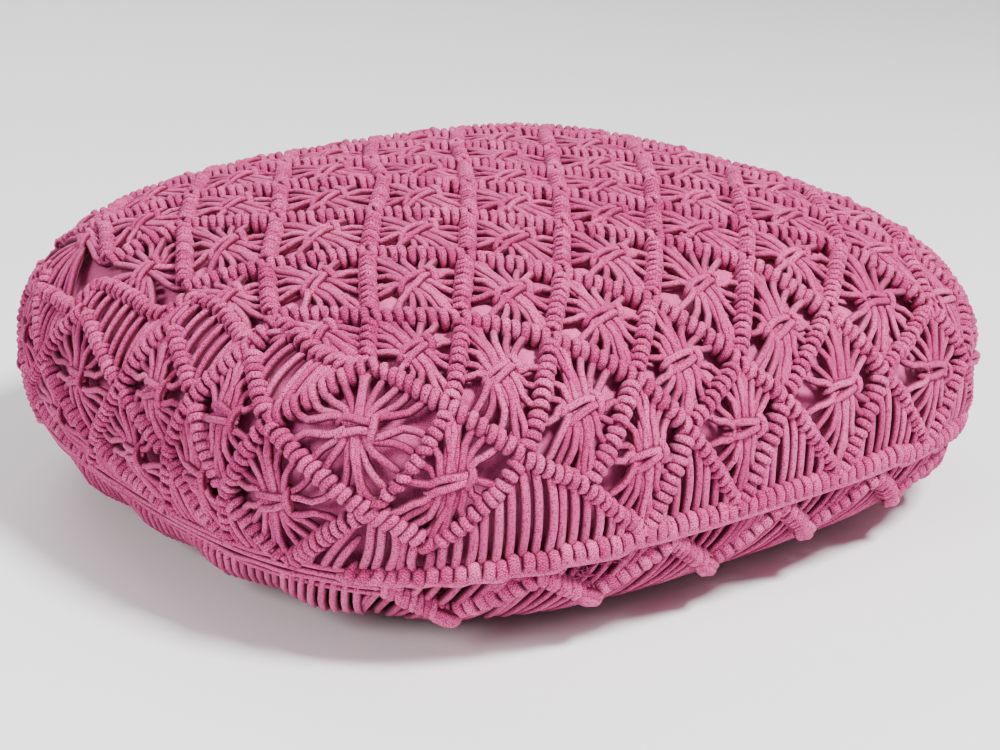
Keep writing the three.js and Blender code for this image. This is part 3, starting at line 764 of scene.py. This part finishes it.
def topPanel():
    strands = defaultdict(list)
    for m in range(first, final):
        for k in range(-rows, rows):
            rising = (m + k) % 2 == 0
            low, high = (k, k + 1) if rising else (k + 1, k)
            if (m, low, m + 1, high) in bareBars:
                continue
            start, end = node(m, low), node(m + 1, high)
            kind = "rising" if rising else "falling"
            free, lean = bar[kind]
            addBar(strands, kind, topFace, start, end, free, free, lean=lean)
    for m in range(first, final + 1):
        for k in range(1 - rows, rows):
            if (m + k) % 2 == 0 or (m, k) in (lattice["plainCell"], cornerCell, footCell):
                continue
            if m in (first, final):
                halfCell(m, k, strands)
            else:
                addDiamond(strands, node(m - 1, k), node(m, k + 1), node(m + 1, k), node(m, k - 1))
    return strands


# At a selvage a diamond is cut in half, and its cords gather beside the edge
def halfCell(m, k, strands):
    way = 1 if m == first else -1
    upper, lower, tip = node(m, k + 1), node(m, k - 1), node(m + way, k)
    centre = (upper + lower) / 2 + np.array([way * knot["atEdge"], 0])
    addKnot(strands, centre, upper, lower, ((tip, way),), size=knot["halfSize"])


# Cords that hang straight from the bars to the seam, at the front and the back
hang = {
    "pitch": 6.5,
    "cord": 5.1,
    "heights": (2.0, 4.2, 4.8, 4.6, 4.0, 2.8),  # from the bar down to the seam
    "wrap": 7.0,  # the seam's wraps, wide enough to close up
    "thick": 4.8,
    "half": 4.8,
    "top": 8.0,
    "profile": ((-1, 0.3), (-0.9, 0.68), (-0.5, 0.93), (0, 1), (0.45, 0.98), (0.85, 0.86), (1, 0.5)),
    "core": (8.0, 7.0),
    "coreHeight": 3.6,
    "edge": 4.0,  # how far below the seam its smooth lower edge runs
    "edgeCord": 7.6,
    "edgeHeight": 5.5,
}


# The line that the straight cords hang from
def lowestBars(side):
    spots = []
    for m in range(first, final + 1):
        row = rows if (m + rows) % 2 == 0 else rows - 1
        if side < 0 and (m, -row + 1) in (lattice["plainCell"], footCell):
            row = row - 2
        spots.append(node(m, side * row))
    return np.array(spots)


# Even lengths along the seam, as places across the cloth
def alongSeam(side):
    u = np.linspace(-selvage, selvage, 300)
    line, _ = readSurface(topFace, np.stack([u, u * 0 + side * seamV, u * 0], axis=-1))
    run = lengthAlong(line)
    return np.interp(np.linspace(0, run[-1], round(run[-1] / hang["pitch"]) + 1), run, u)


def hangingCords(side):
    paths = []
    line = lowestBars(side)
    ends = alongSeam(side)
    for i, u in enumerate((ends[:-1] + ends[1:]) / 2):
        top = abs(np.interp(u, line[:, 0], line[:, 1]))
        if seamV - top >= 9:
            start, end = np.array([u, side * top]), np.array([u, side * (seamV - 3)])
            paths.append(bowedCord(start, end, hang["heights"], bow=stray(1.8), dip=0.9 * (i % 2)))
    return paths


def seamWraps(side):
    paths = []
    for u in alongSeam(side):
        u = u + stray(0.35)
        lean = draw.uniform(-0.4, 0.9)
        size = draw.uniform(0.92, 1.1)
        path = []
        for share, height in hang["profile"]:
            away = hang["half"] * (share * size if share < 0 else share)
            path.append((u + lean * share, side * (seamV + away), hang["top"] * height + stray(0.12)))
        paths.append(path)
    return paths


top = topPanel()
strandPiece("risingBars", [
    sweep(topFace, top["rising"], 7, bar["cord"], bar["thick"], ends=0.8),
    sweep(topFace, top["cores"], 5, *bar["core"], sides=6),
], "top_panel")
strandPiece("fallingBars", [
    sweep(topFace, top["falling"], 7, bar["closeCord"], bar["thick"], ends=0.8),
], "top_panel")
strandPiece("cordsToKnots", [sweep(topFace, top["fansIn"], 8, knot["fanCord"], sides=6)], "top_panel")
strandPiece("cordsFromKnots", [sweep(topFace, top["fansOut"], 8, knot["fanCord"], sides=6)], "top_panel")
strandPiece("squareKnots", [sweep(topFace, top["knots"], 10, knot["cord"])], "top_panel")
seamCores = [[(u, side * seamV, hang["coreHeight"]) for u in np.linspace(-selvage - 3, selvage + 3, 40)]
             for side in (-1, 1)]
seamEdges = [[(u, side * (seamV + hang["edge"]), hang["edgeHeight"] + stray(0.15))
              for u in np.linspace(-selvage - 4, selvage + 4, 40)] for side in (-1, 1)]
strandPiece("frontAndBackSeams", [
    sweep(topFace, hangingCords(-1) + hangingCords(1), 9, hang["cord"]),
    sweep(topFace, seamWraps(-1) + seamWraps(1), 7, hang["wrap"], hang["thick"]),
    sweep(topFace, seamCores, 120, *hang["core"]),
    sweep(topFace, seamEdges, 160, hang["edgeCord"]),
], "top_panel")


# The side bands: heights over the floor, and places along the left side, from back to front.
# The right side is their mirror image.
band = {
    "tops": ((-138, 130), (-60, 127), (22, 137), (88, 140), (142, 134)),
    "uppers": ((-168, 104), (-92, 94), (4, 104), (72, 116), (126, 116), (184, 124)),
    "lowers": ((-186, 84), (-124, 70), (-28, 66), (56, 84), (104, 77), (172, 94)),
    "feet": ((-176, 50), (-118, 49), (-40, 49), (50, 50), (100, 50), (138, 50), (170, 50)),
    "pitch": 6.3,
    "cord": 4.7,
    "heights": (2.0, 3.8, 4.4, 4.4, 4.0, 2.6),  # of a hanging cord, from the bar to its lower end
    "bar": (5.0, 4.5),  # width and thickness of a bar's cord
    "barTop": 7.0,
    "barPitch": 5.2,
    "free": (0.2, 4.5),  # at both ends of a rising and of a falling bar
    "core": (5.8, 4.8),
    "fanCord": 4.3,
    "knotCord": 4.4,
    "loose": 3.6,  # cord of the strands that lie along the seam
    "looseLines": ((3.5, 4.6), (-0.5, 5.0), (-4.5, 4.8), (-8.5, 4.2)),  # over the seam, off the casing
    "looseReach": 186.0,  # to both sides of the middle
}

# The chain of loops down a selvage, which the side band hangs from
chain = {
    "pitch": 6.3,
    "half": 3.4,
    "top": 6.8,
    "lean": 1.5,
    "cord": 5.2,
    "thick": 4.6,
    "out": 2.5,  # past the selvage, where it runs down a corner
    "core": (6.0, 5.0),
    "coreHeight": 3.8,
    "line": (  # along the side, from the back, as the band's crossings
        (-164, 116), (-126, 121), (-100, 124), (-72, 124), (-64, 138), (-46, 139), (-20, 139), (-2, 137),
        (12, 139), (15, 146), (36, 148), (56, 146), (72, 143), (87, 140), (84, 150), (102, 148), (122, 144),
        (144, 141),
    ),
    "cordsToPanel": 9,  # from each half diamond's knot
}


def placeOn(surface, spot):
    return readSurface(surface, np.array([*spot, 0.0]))[0]


# Where a spot of the top panel lies on a side: towards the front, and up
def onSide(spot):
    _, y, z = placeOn(topFace, spot)
    return np.array([-y, climb(z)])


# The chain runs down both corners; at the near corner it ends at the corner diamond
def chainLine(way):
    across = way * (selvage + chain["out"])
    back = [onSide((across, v)) for v in np.linspace(seamV, 205, 9)]
    middle = [np.array([a, climb(z)]) for a, z in chain["line"]]
    if way < 0:
        return back + middle + [onSide(node(first, -4))]
    return back + middle + [onSide((across, v)) for v in np.linspace(-190, -seamV, 9)]


# The part of it that cords meet, with its places from the left
def chainEdge(way, mirror=1):
    return np.array(sorted((mirror * a, s) for a, s in chainLine(way) if abs(a) < seam["cornerY"]))


def chainPaths(way):
    paths = []
    line = [np.array([-way * a, s]) for a, s in chainLine(way)]
    for start, end in zip(line[:-1], line[1:]):
        paths.extend(wrapPaths(sideFaces[way], start, end, 0, 0, half=chain["half"], top=chain["top"],
                               pitch=chain["pitch"], lean=chain["lean"]))
    return paths, [(*spot, chain["coreHeight"]) for spot in line]


# From the knots of the half diamonds, out to the chain
def cordsToChain(way):
    paths = []
    column = first if way < 0 else final
    line = chainEdge(way)
    for k in range(-4, 5):
        if (column + k) % 2 == 0:
            continue
        lower, upper = node(column, k - 1), node(column, k + 1)
        centre = onSide((lower + upper) / 2 - np.array([way * knot["atEdge"], 0]))
        near, far = onSide(lower)[0], onSide(upper)[0]
        for j in range(chain["cordsToPanel"]):
            share = (j + 0.5) / chain["cordsToPanel"]
            aside = 0.5 - share
            a = near + (far - near) * (0.02 + 0.96 * share)
            foot = np.array([a, np.interp(a, line[:, 0], line[:, 1])])
            start = centre + np.array([aside * 8, -1.0])
            path = [(-way * start[0], start[1], 3.4)]
            for t, height in ((0.25, 4.6), (0.6, 4.6), (1.0, 3.0)):
                spot = start + (foot - start) * t + np.array([aside * 9 * math.sin(t * math.pi), 0])
                path.append((-way * spot[0], spot[1], height - (j % 2)))
            paths.append(path)
    return paths


# Everything of one band; way is -1 on the left and 1 on the right
def bandStrands(way):
    strands = defaultdict(list)

    def place(spot):
        return np.array([-way * spot[0], climb(spot[1])])

    def addCell(left, upper, right, lower):
        left, right = (left, right) if way < 0 else (right, left)
        addDiamond(strands, left, upper, right, lower)

    tops, uppers, lowers, feet = (
        [place(spot) for spot in band[key]] for key in ("tops", "uppers", "lowers", "feet"))
    near = way < 0  # the corner diamond takes the last place there
    last = 5 - near
    if near:
        lowers[5] = onSide(node(first, -6))
    rising = [*zip(uppers[:last], tops), *zip(lowers[:5], uppers), *zip(feet[:6], lowers)]
    falling = [*zip(tops[:last], uppers[1:]), *zip(uppers[:last], lowers[1:])]
    falling += zip(lowers[:last + 1], feet[1:])
    if not near:
        rising.append((lowers[5], uppers[5]))
    settings = {"top": band["barTop"], "pitch": band["barPitch"]}
    for group, free in zip((rising, falling), band["free"]):
        for ends in group:
            addBar(strands, "bars", sideFaces[way], *ends, free, free, **settings)
    for i in range(last):
        addCell(uppers[i], tops[i], uppers[i + 1], lowers[i + 1])
    for i in range(5):
        addCell(lowers[i], uppers[i], lowers[i + 1], feet[i + 1])
    edge = chainEdge(way, -way)
    hung = [(tops[0], uppers[0], place((-185, 96))), *zip(tops[:4], uppers[1:], tops[1:])]
    for left, tip, right in hung:
        strands["cords"].extend(triangleCords(left, tip, right, edge))
    for left, tip, right in zip(feet[:6], lowers, feet[1:]):
        strands["cords"].extend(triangleCords(left, tip, right))
    return strands


# Straight cords in a triangle of bars, down to its base or up to the edge over it
def triangleCords(left, tip, right, edge=None):
    paths = []
    count = max(2, round(abs(right[0] - left[0]) / band["pitch"]))
    for i in range(count):
        t = (i + 0.5) / count
        foot = left + (right - left) * t
        onBar = left + (tip - left) * t * 2 if t < 0.5 else tip + (right - tip) * (t * 2 - 1)
        if edge is not None:
            foot = np.array([onBar[0], np.interp(onBar[0], edge[:, 0], edge[:, 1]) - 2])
        if abs(foot[1] - onBar[1]) >= 7:
            paths.append(bowedCord(onBar, foot, band["heights"], bow=stray(1.6)))
    return paths


# The diamond that reaches round the near corner, on the wall's own lengths
def cornerStrands():
    strands = defaultdict(list)
    m, k = cornerCell
    crossings = (node(*at) for at in ((m, k + 1), (m + 1, k), (m, k - 1)))
    upper, right, lower = (onWall(placeOn(topFace, crossing)) for crossing in crossings)
    across, height = band["uppers"][4]
    left = onWall(placeOn(sideFaces[-1], (across, climb(height))))
    for start, end in ((left, upper), (lower, left)):
        addBar(strands, "bars", wallFace, start, end, 0.2, 2.0, pitch=band["barPitch"])
    addDiamond(strands, left, upper, right, lower)
    return strands


# The strands that lie loose along a side's seam
def loosePaths(way):
    paths = []
    for over, height in band["looseLines"]:
        path = []
        for a in np.linspace(-band["looseReach"], band["looseReach"], 22):
            z = seamHeight(-way * halfWidth, np.array(a)) + over + stray(0.7)
            path.append((a, climb(float(z)), height + stray(0.3)))
        paths.append(path)
    return paths


corner = cornerStrands()
for way, name, replaced in ((-1, "leftBand", "side_band_left"), (1, "rightBand", "side_band_right")):
    parts, face = bandStrands(way), sideFaces[way]
    pieces = [
        sweep(face, parts["bars"], 7, *band["bar"], ends=0.8),
        sweep(face, parts["cores"], 5, *band["core"], sides=6),
        sweep(face, parts["fansIn"] + parts["fansOut"], 8, band["fanCord"], sides=6),
        sweep(face, parts["knots"], 10, band["knotCord"]),
        sweep(face, parts["cords"], 8, band["cord"], sides=7),
        sweep(face, loosePaths(way), 110, band["loose"], sides=7),
    ]
    if way < 0:
        pieces += [
            sweep(wallFace, corner["bars"], 7, *band["bar"], ends=0.8),
            sweep(wallFace, corner["cores"], 5, *band["core"], sides=6),
            sweep(wallFace, corner["fansIn"] + corner["fansOut"], 9, knot["fanCord"], sides=7),
            sweep(wallFace, corner["knots"], 11, knot["cord"]),
        ]
    strandPiece(name, pieces, replaced)
wraps, lines = zip(*(chainPaths(way) for way in (-1, 1)))
left, right = sideFaces[-1], sideFaces[1]
strandPiece("selvageChains", [
    sweep(left, wraps[0], 7, chain["cord"], chain["thick"], ends=0.8),
    sweep(right, wraps[1], 7, chain["cord"], chain["thick"], ends=0.8),
    sweep(left, [lines[0]], 150, *chain["core"]),
    sweep(right, [lines[1]], 150, *chain["core"]),
    sweep(left, cordsToChain(-1), 7, knot["fanCord"], sides=6),
    sweep(right, cordsToChain(1), 7, knot["fanCord"], sides=6),
], "top_panel")


# The rim below the seam: slanted cords, a zigzag of bars, and cords that turn in underneath
rim = {
    "zigzags": 22,  # all the way round
    "high": 9.0,  # below the seam, at the zigzag's crossings
    "low": 34.0,
    "tipShare": 0.43,  # of a zigzag, where its lower crossing is
    "pitch": 6.0,
    "cord": 4.7,
    "cordHeights": (1.2, 2.4, 3.2, 3.5, 3.3, 2.0),  # from the seam down to the zigzag
    "slant": 24.0,
    "underHeights": (2.0, 3.2, 3.0, 2.7, 2.5, 2.3, 2.3, 2.3, 2.3),  # from the zigzag to the underside
    "sideSlant": 52.0,  # along the two sides, where the zigzag only swells under the cords
    "sideHeights": (1.6, 3.2, 3.2, 2.9, 2.6, 2.4, 2.3, 2.3, 2.3),
    "turnOver": 0.4,  # how far past a corner the cords take up the slant of the sides
    "swell": 5.5,
    "swellAt": (24.0, 17.0),  # below the seam, and how wide
    "phase": 0.912,
    "bar": {"half": 3.9, "top": 7.2, "pitch": 6.3},
    "barCord": (7.0, 5.2),
    "tongue": {"half": 4.2, "top": 6.4, "pitch": 4.0, "lean": 2.2, "rise": 3.4},  # rises to its tip
    "tongueCord": (4.9, 4.6),
    "tip": 6.5,  # how far its end reaches past the crossing
    "tipCord": (6.6, 6.0),
    "core": (5.8, 4.8),
    "inner": 118.0,  # where the cords end, on the flat of the underside
}


def zigzagDown(t):
    share = (t / roundLength * rim["zigzags"] + rim["phase"] + rim["zigzags"] / 2) % 1
    tip = rim["tipShare"]
    way = share / tip if share < tip else (1 - share) / (1 - tip)
    return rim["high"] + (rim["low"] - rim["high"]) * way


# How far a length round the outline is into one of the two sides: more than 0 past the corners
def besideBand(t):
    x, y = np.interp(t, outlineT, outlineX), np.interp(t, outlineT, outlineY)
    return abs(x) / seam["cornerX"] - abs(y) / seam["cornerY"]


# The end of a tongue: three cords side by side, turned in at the tip
def tonguePaths(start, end):
    way = unit(end - start)
    side = np.array([-way[1], way[0]])
    top, tip = rim["tongue"]["top"] + rim["tongue"]["rise"], rim["tip"]
    line = (  # along the tongue, height, and how far apart the cords still are
        (-9, top - 1.2, 1), (-4, top - 0.4, 1), (0, top, 1), (3.4, top - 1.6, 0.9), (tip - 1, top - 4.4, 0.6),
        (tip - 2.4, top - 7.6, 0.35),
    )
    return [
        [(*(end + way * along + side * over * apart), height + lift) for along, height, apart in line]
        for over, lift in ((-2.9, -1.2), (2.9, -1.2), (0, 0.3))
    ]


# Along the sides: one slant from the seam to the underside, swelling over the zigzag
def sideCord(t, beside):
    slant = rim["slant"] + (rim["sideSlant"] - rim["slant"]) * min(1, beside / rim["turnOver"])
    middle, width = rim["swellAt"]
    path = []
    for s, height in zip(np.linspace(0, 1, 9), rim["sideHeights"]):
        at, under = t - slant * s, 1.5 + (rim["inner"] - 1.5) * s
        swell = (zigzagDown(at) - rim["high"]) / (rim["low"] - rim["high"])
        path.append((at, under, height + swell * rim["swell"] * math.exp(-(((under - middle) / width) ** 2))))
    return path


# From the zigzag to the underside
def underCord(t, down, dip):
    turn = rim["slant"] + stray(3)
    path = []
    for s, height in zip(np.linspace(0, 1, 9), rim["underHeights"]):
        bend = 1 - (1 - min(1, s * 2)) ** 2
        path.append((t - turn * bend, down + (rim["inner"] - down) * s, height - dip * math.sin(s * math.pi)))
    return path


def rimStrands():
    strands = defaultdict(list)
    period = roundLength / rim["zigzags"]
    for i in range(rim["zigzags"]):
        high = (i - rim["phase"]) * period - roundLength / 2
        upper, after = np.array([high, rim["high"]]), np.array([high + period, rim["high"]])
        lower = np.array([high + period * (rim["tipShare"] + stray(0.04)), rim["low"] + stray(3)])
        if besideBand(lower[0]) > 0:
            continue
        addBar(strands, "tongues", rimFace, upper, lower, -2.0, 0.0, **rim["tongue"])
        strands["tips"].extend(tonguePaths(upper, lower))
        addBar(strands, "bars", rimFace, lower, after, 4.0, 2.0, **rim["bar"])
    count = round(roundLength / rim["pitch"])
    for i in range(count):
        t = (i + 0.5) / count * roundLength - roundLength / 2
        down = zigzagDown(t)
        shift = rim["slant"] * (down - 4) / 30 + stray(1)
        dip = 0.8 * (i % 2)
        beside = besideBand(t)
        if beside > 0:
            strands["under"].append(sideCord(t, beside))
            continue
        if down > rim["high"] + 3:
            start, end = np.array([t + shift, 1.5]), np.array([t, down])
            strands["cords"].append(bowedCord(start, end, rim["cordHeights"], dip=dip))
        strands["under"].append(underCord(t, down, dip))
    return strands


# The flat of the underside
def flatSurface():
    u = np.linspace(-220, 220, 45)
    x, y = np.meshgrid(u, u, indexing="ij")
    surface = makeSurface(u, u, np.stack([x, y, x * 0 + baseHeight], axis=-1))
    surface["normal"][:] = (0, 0, -1)
    return surface


underside = {
    "pitch": 6.0,
    "cord": 4.9,
    "radius": 0.6,  # of the plan
    "height": 2.5,
    "wraps": 214,  # in the ring round it
    "wrapHalf": 4.4,
    "wrapCord": (5.4, 4.4),
    "wrapHeight": 2.3,
}


def undersideStrands():
    cords, wraps = [], []
    count = int(2 * underside["radius"] * halfDepth / underside["pitch"])
    for i in range(count):
        y = (i + 0.5 - count / 2) * underside["pitch"]
        inside = underside["radius"] ** shape["planPower"] - abs(y / halfDepth) ** shape["planPower"]
        reach = halfWidth * max(inside, 0) ** (1 / shape["planPower"])
        if reach > 12:
            cords.append([(x, y + stray(0.3), underside["height"]) for x in np.linspace(-reach, reach, 4)])
    ring = np.linspace(-roundLength / 2, roundLength / 2, underside["wraps"] + 1)
    for middle in (ring[:-1] + ring[1:]) / 2:
        wraps.append([
            (middle, rim["inner"] + underside["wrapHalf"] * share, underside["wrapHeight"] * height)
            for share, height in ((-1, 0.8), (-0.8, 1), (-0.4, 1), (0, 1), (0.4, 1), (0.8, 1), (1, 0.8))
        ])
    return cords, wraps


# Frayed ends, as places round the outline and down from the seam
frayed = {
    "places": ((-119, 14.0), (-103, 9.0), (-236, 4.0), (-262, 3.0)),
    "fibres": 26,
    "fibre": 0.5,
    "length": 9.0,
}


def frayedPaths():
    paths = []
    for place in frayed["places"]:
        for _ in range(frayed["fibres"]):
            angle = draw.uniform(0, tau)
            reach = frayed["length"] * draw.uniform(0.45, 1.0)
            start = np.array(place) + stray(1.6, 2)
            bend = stray(1.2)
            path = []
            for s in np.linspace(0, 1, 5):
                turn = angle + bend * s
                spot = start + reach * s * np.array([math.cos(turn), 0.7 * math.sin(turn)])
                path.append((*spot, 4.0 + 4.0 * s * (1.4 - s) + stray(0.2)))
            paths.append(path)
    return paths


rimParts = rimStrands()
undersideCords, undersideWraps = undersideStrands()
strandPiece("lowerRim", [
    sweep(rimFace, rimParts["cords"], 7, rim["cord"], sides=7),
    sweep(rimFace, rimParts["bars"], 7, *rim["barCord"], ends=0.8),
    sweep(rimFace, rimParts["tongues"], 7, *rim["tongueCord"], ends=0.8),
    sweep(rimFace, rimParts["tips"], 10, *rim["tipCord"]),
    sweep(rimFace, rimParts["cores"], 5, *rim["core"], sides=6),
], "bottom_panel")
strandPiece("underside", [
    sweep(rimFace, rimParts["under"], 13, rim["cord"], sides=6),
    sweep(rimFace, undersideWraps, 5, *underside["wrapCord"], sides=6, ends=0.8),
    sweep(flatSurface(), undersideCords, 4, underside["cord"], sides=6),
], "bottom_panel")
strandPiece("frayedEnds", [sweep(rimFace, frayedPaths(), 8, frayed["fibre"], sides=4)], "bottom_panel")


# The casing, blown up by its filling
casing = {
    "voxel": 6.0,
    "weld": 0.2,
    "slack": 1.6,  # taken off all round, before the filling pushes it out
    "pressure": 4.0,
    "frames": 20,
    "cap": 2.2,  # the most that the filling may move it
    "puff": 3.4,  # how far it comes out between the cords
    "puffReach": 10.0,
    "gapAside": 19.0,  # from a diamond's knot to the gaps beside it
    "lowest": 5.3,  # over the floor
}


def editAll(piece, operator, **settings):
    bpy.ops.object.select_all(action="DESELECT")
    piece.select_set(True)
    bpy.context.view_layer.objects.active = piece
    bpy.ops.object.mode_set(mode="EDIT")
    bpy.ops.mesh.select_all(action="SELECT")
    operator(**settings)
    bpy.ops.object.mode_set(mode="OBJECT")


def placesOf(piece):
    return np.array([v.co for v in piece.data.vertices])


def movePlaces(piece, places):
    piece.data.vertices.foreach_set("co", places.ravel())
    piece.data.update()


# Where the casing shows most: the left and right corners of each diamond
def gapCentres():
    spots = []
    for m in range(first + 1, final):
        for k in range(1 - rows, rows):
            if (m + k) % 2 and (m, k) != lattice["plainCell"]:
                u, v = node(m, k)
                spots += [(u - casing["gapAside"], v, 0.0), (u + casing["gapAside"], v, 0.0)]
    return readSurface(topFace, np.array(spots))[0]


def makeCasing():
    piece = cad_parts["inner_cushion"].copy()
    piece.data = piece.data.copy()
    piece.name = "casing"
    piece.data.name = "casing"
    piece.parent = None
    for key in list(piece.keys()):
        del piece[key]
    bpy.context.scene.collection.objects.link(piece)
    editAll(piece, bpy.ops.mesh.remove_doubles, threshold=casing["weld"] * mm)
    editAll(piece, bpy.ops.transform.shrink_fatten, value=-casing["slack"] * mm)
    drawIn(piece)
    remesh = piece.modifiers.new("remesh", "REMESH")
    remesh.mode = "VOXEL"
    remesh.voxel_size = casing["voxel"] * mm
    bpy.ops.object.modifier_apply(modifier=remesh.name)
    inflate(piece)
    smooth = piece.modifiers.new("subdivision", "SUBSURF")
    smooth.levels = smooth.render_levels = 1
    bpy.ops.object.modifier_apply(modifier=smooth.name)
    return piece


# The cords pull the lower half of the cushion in
def drawIn(piece):
    places = placesOf(piece)
    z = places[:, 2] / mm
    places[:, :2] *= (radiusAt(z) / radiusAt(z, shape["castShare"], shape["castPower"]))[:, None]
    movePlaces(piece, places)


def inflate(piece):
    start = placesOf(piece)
    cloth = piece.modifiers.new("filling", "CLOTH")
    cloth.settings.use_pressure = True
    cloth.settings.uniform_pressure_force = casing["pressure"]
    cloth.settings.effector_weights.gravity = 0
    cloth.settings.quality = 4
    cloth.point_cache.frame_start = 1
    cloth.point_cache.frame_end = casing["frames"]
    for step in range(1, casing["frames"] + 1):
        bpy.context.scene.frame_set(step)
    bpy.ops.object.modifier_apply(modifier=cloth.name)
    bpy.context.scene.frame_set(1)
    moved = placesOf(piece) - start
    far = np.linalg.norm(moved, axis=1, keepdims=True)
    movePlaces(piece, start + moved * np.minimum(1, casing["cap"] * mm / np.maximum(far, tiny)))


# Pushes the casing out a little between the cords
def puffGaps(piece, centres):
    places = placesOf(piece)
    normals = np.array([v.normal for v in piece.data.vertices])
    tree = kdtree.KDTree(len(places))
    for i, p in enumerate(places):
        tree.insert(p, i)
    tree.balance()
    lift = np.zeros(len(places))
    reach = casing["puffReach"] * mm
    for centre in centres * mm:
        for _, i, away in tree.find_range(Vector(centre), reach):
            lift[i] = max(lift[i], casing["puff"] * mm * (1 - (away / reach) ** 2) ** 1.5)
    places += normals * lift[:, None]
    places[:, 2] = np.maximum(places[:, 2], casing["lowest"] * mm)
    movePlaces(piece, places)


cushionPiece = makeCasing()
puffGaps(cushionPiece, gapCentres())
editAll(cushionPiece, bpy.ops.uv.cube_project, cube_size=mm)
cushionPiece.data.uv_layers.active.name = "weave"
bpy.ops.object.shade_smooth()
cushionPiece.data.materials.clear()
cushionPiece.data.materials.append(casingFinish)
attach(cushionPiece, "root")
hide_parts("inner_cushion")
print("casing", len(cushionPiece.data.polygons), "faces")


# Floor, light and camera
view = {
    "azimuth": -36.92,
    "elevation": 17.62,
    "distance": 1254.7,
    "targetHeight": 90.0,
    "lens": 75.92,
    "shiftX": 0.00875,
    "shiftY": -0.04715,
}
lights = {  # place and size in metres, and power
    "keyLight": ((0.4, -1.4, 2.1), 0.55, 142),
    "leftLight": ((-2.1, -0.6, 1.3), 0.9, 38),
    "backLight": ((0.2, 1.9, 1.6), 1.6, 34),
}
studio = {"floor": (0.92, 0.92, 0.92), "floorRoughness": 0.7, "world": 0.34}


def addFloor():
    bpy.ops.object.select_all(action="DESELECT")
    bpy.ops.mesh.primitive_plane_add(size=12.0, location=(0, 0, -0.0002))
    floor = bpy.context.object
    floor.name = "floor"
    material, tree = newMaterial("paleFloor")
    shader = tree.nodes["Principled BSDF"]
    fill(tree, shader, {"Base Color": studio["floor"], "Roughness": studio["floorRoughness"]})
    floor.data.materials.append(material)


def addLight(name, place, size, power):
    bpy.ops.object.light_add(type="AREA", location=place)
    light = bpy.context.object
    light.name = name
    light.data.size = size
    light.data.energy = power
    light.rotation_euler = (Vector((0, 0, 0.08)) - Vector(place)).to_track_quat("-Z", "Y").to_euler()


def addCamera():
    azimuth, elevation = math.radians(view["azimuth"]), math.radians(view["elevation"])
    away = view["distance"] * mm
    target = Vector((0, 0, view["targetHeight"] * mm))
    level = math.cos(elevation)
    outward = Vector((math.sin(azimuth) * level, -math.cos(azimuth) * level, math.sin(elevation)))
    place = target + away * outward
    bpy.ops.object.camera_add(location=place, rotation=(target - place).to_track_quat("-Z", "Y").to_euler())
    camera = bpy.context.object
    camera.data.sensor_width = 36.0
    camera.data.lens = view["lens"]
    camera.data.shift_x = view["shiftX"]
    camera.data.shift_y = view["shiftY"]
    bpy.context.scene.camera = camera


addFloor()
for name, settings in lights.items():
    addLight(name, *settings)
world = bpy.context.scene.world or bpy.data.worlds.new("studio")
bpy.context.scene.world = world
world.use_nodes = True
background = world.node_tree.nodes["Background"]
fill(world.node_tree, background, {"Color": (1.0, 1.0, 1.0), "Strength": studio["world"]})
addCamera()
print("floor, light and camera set")
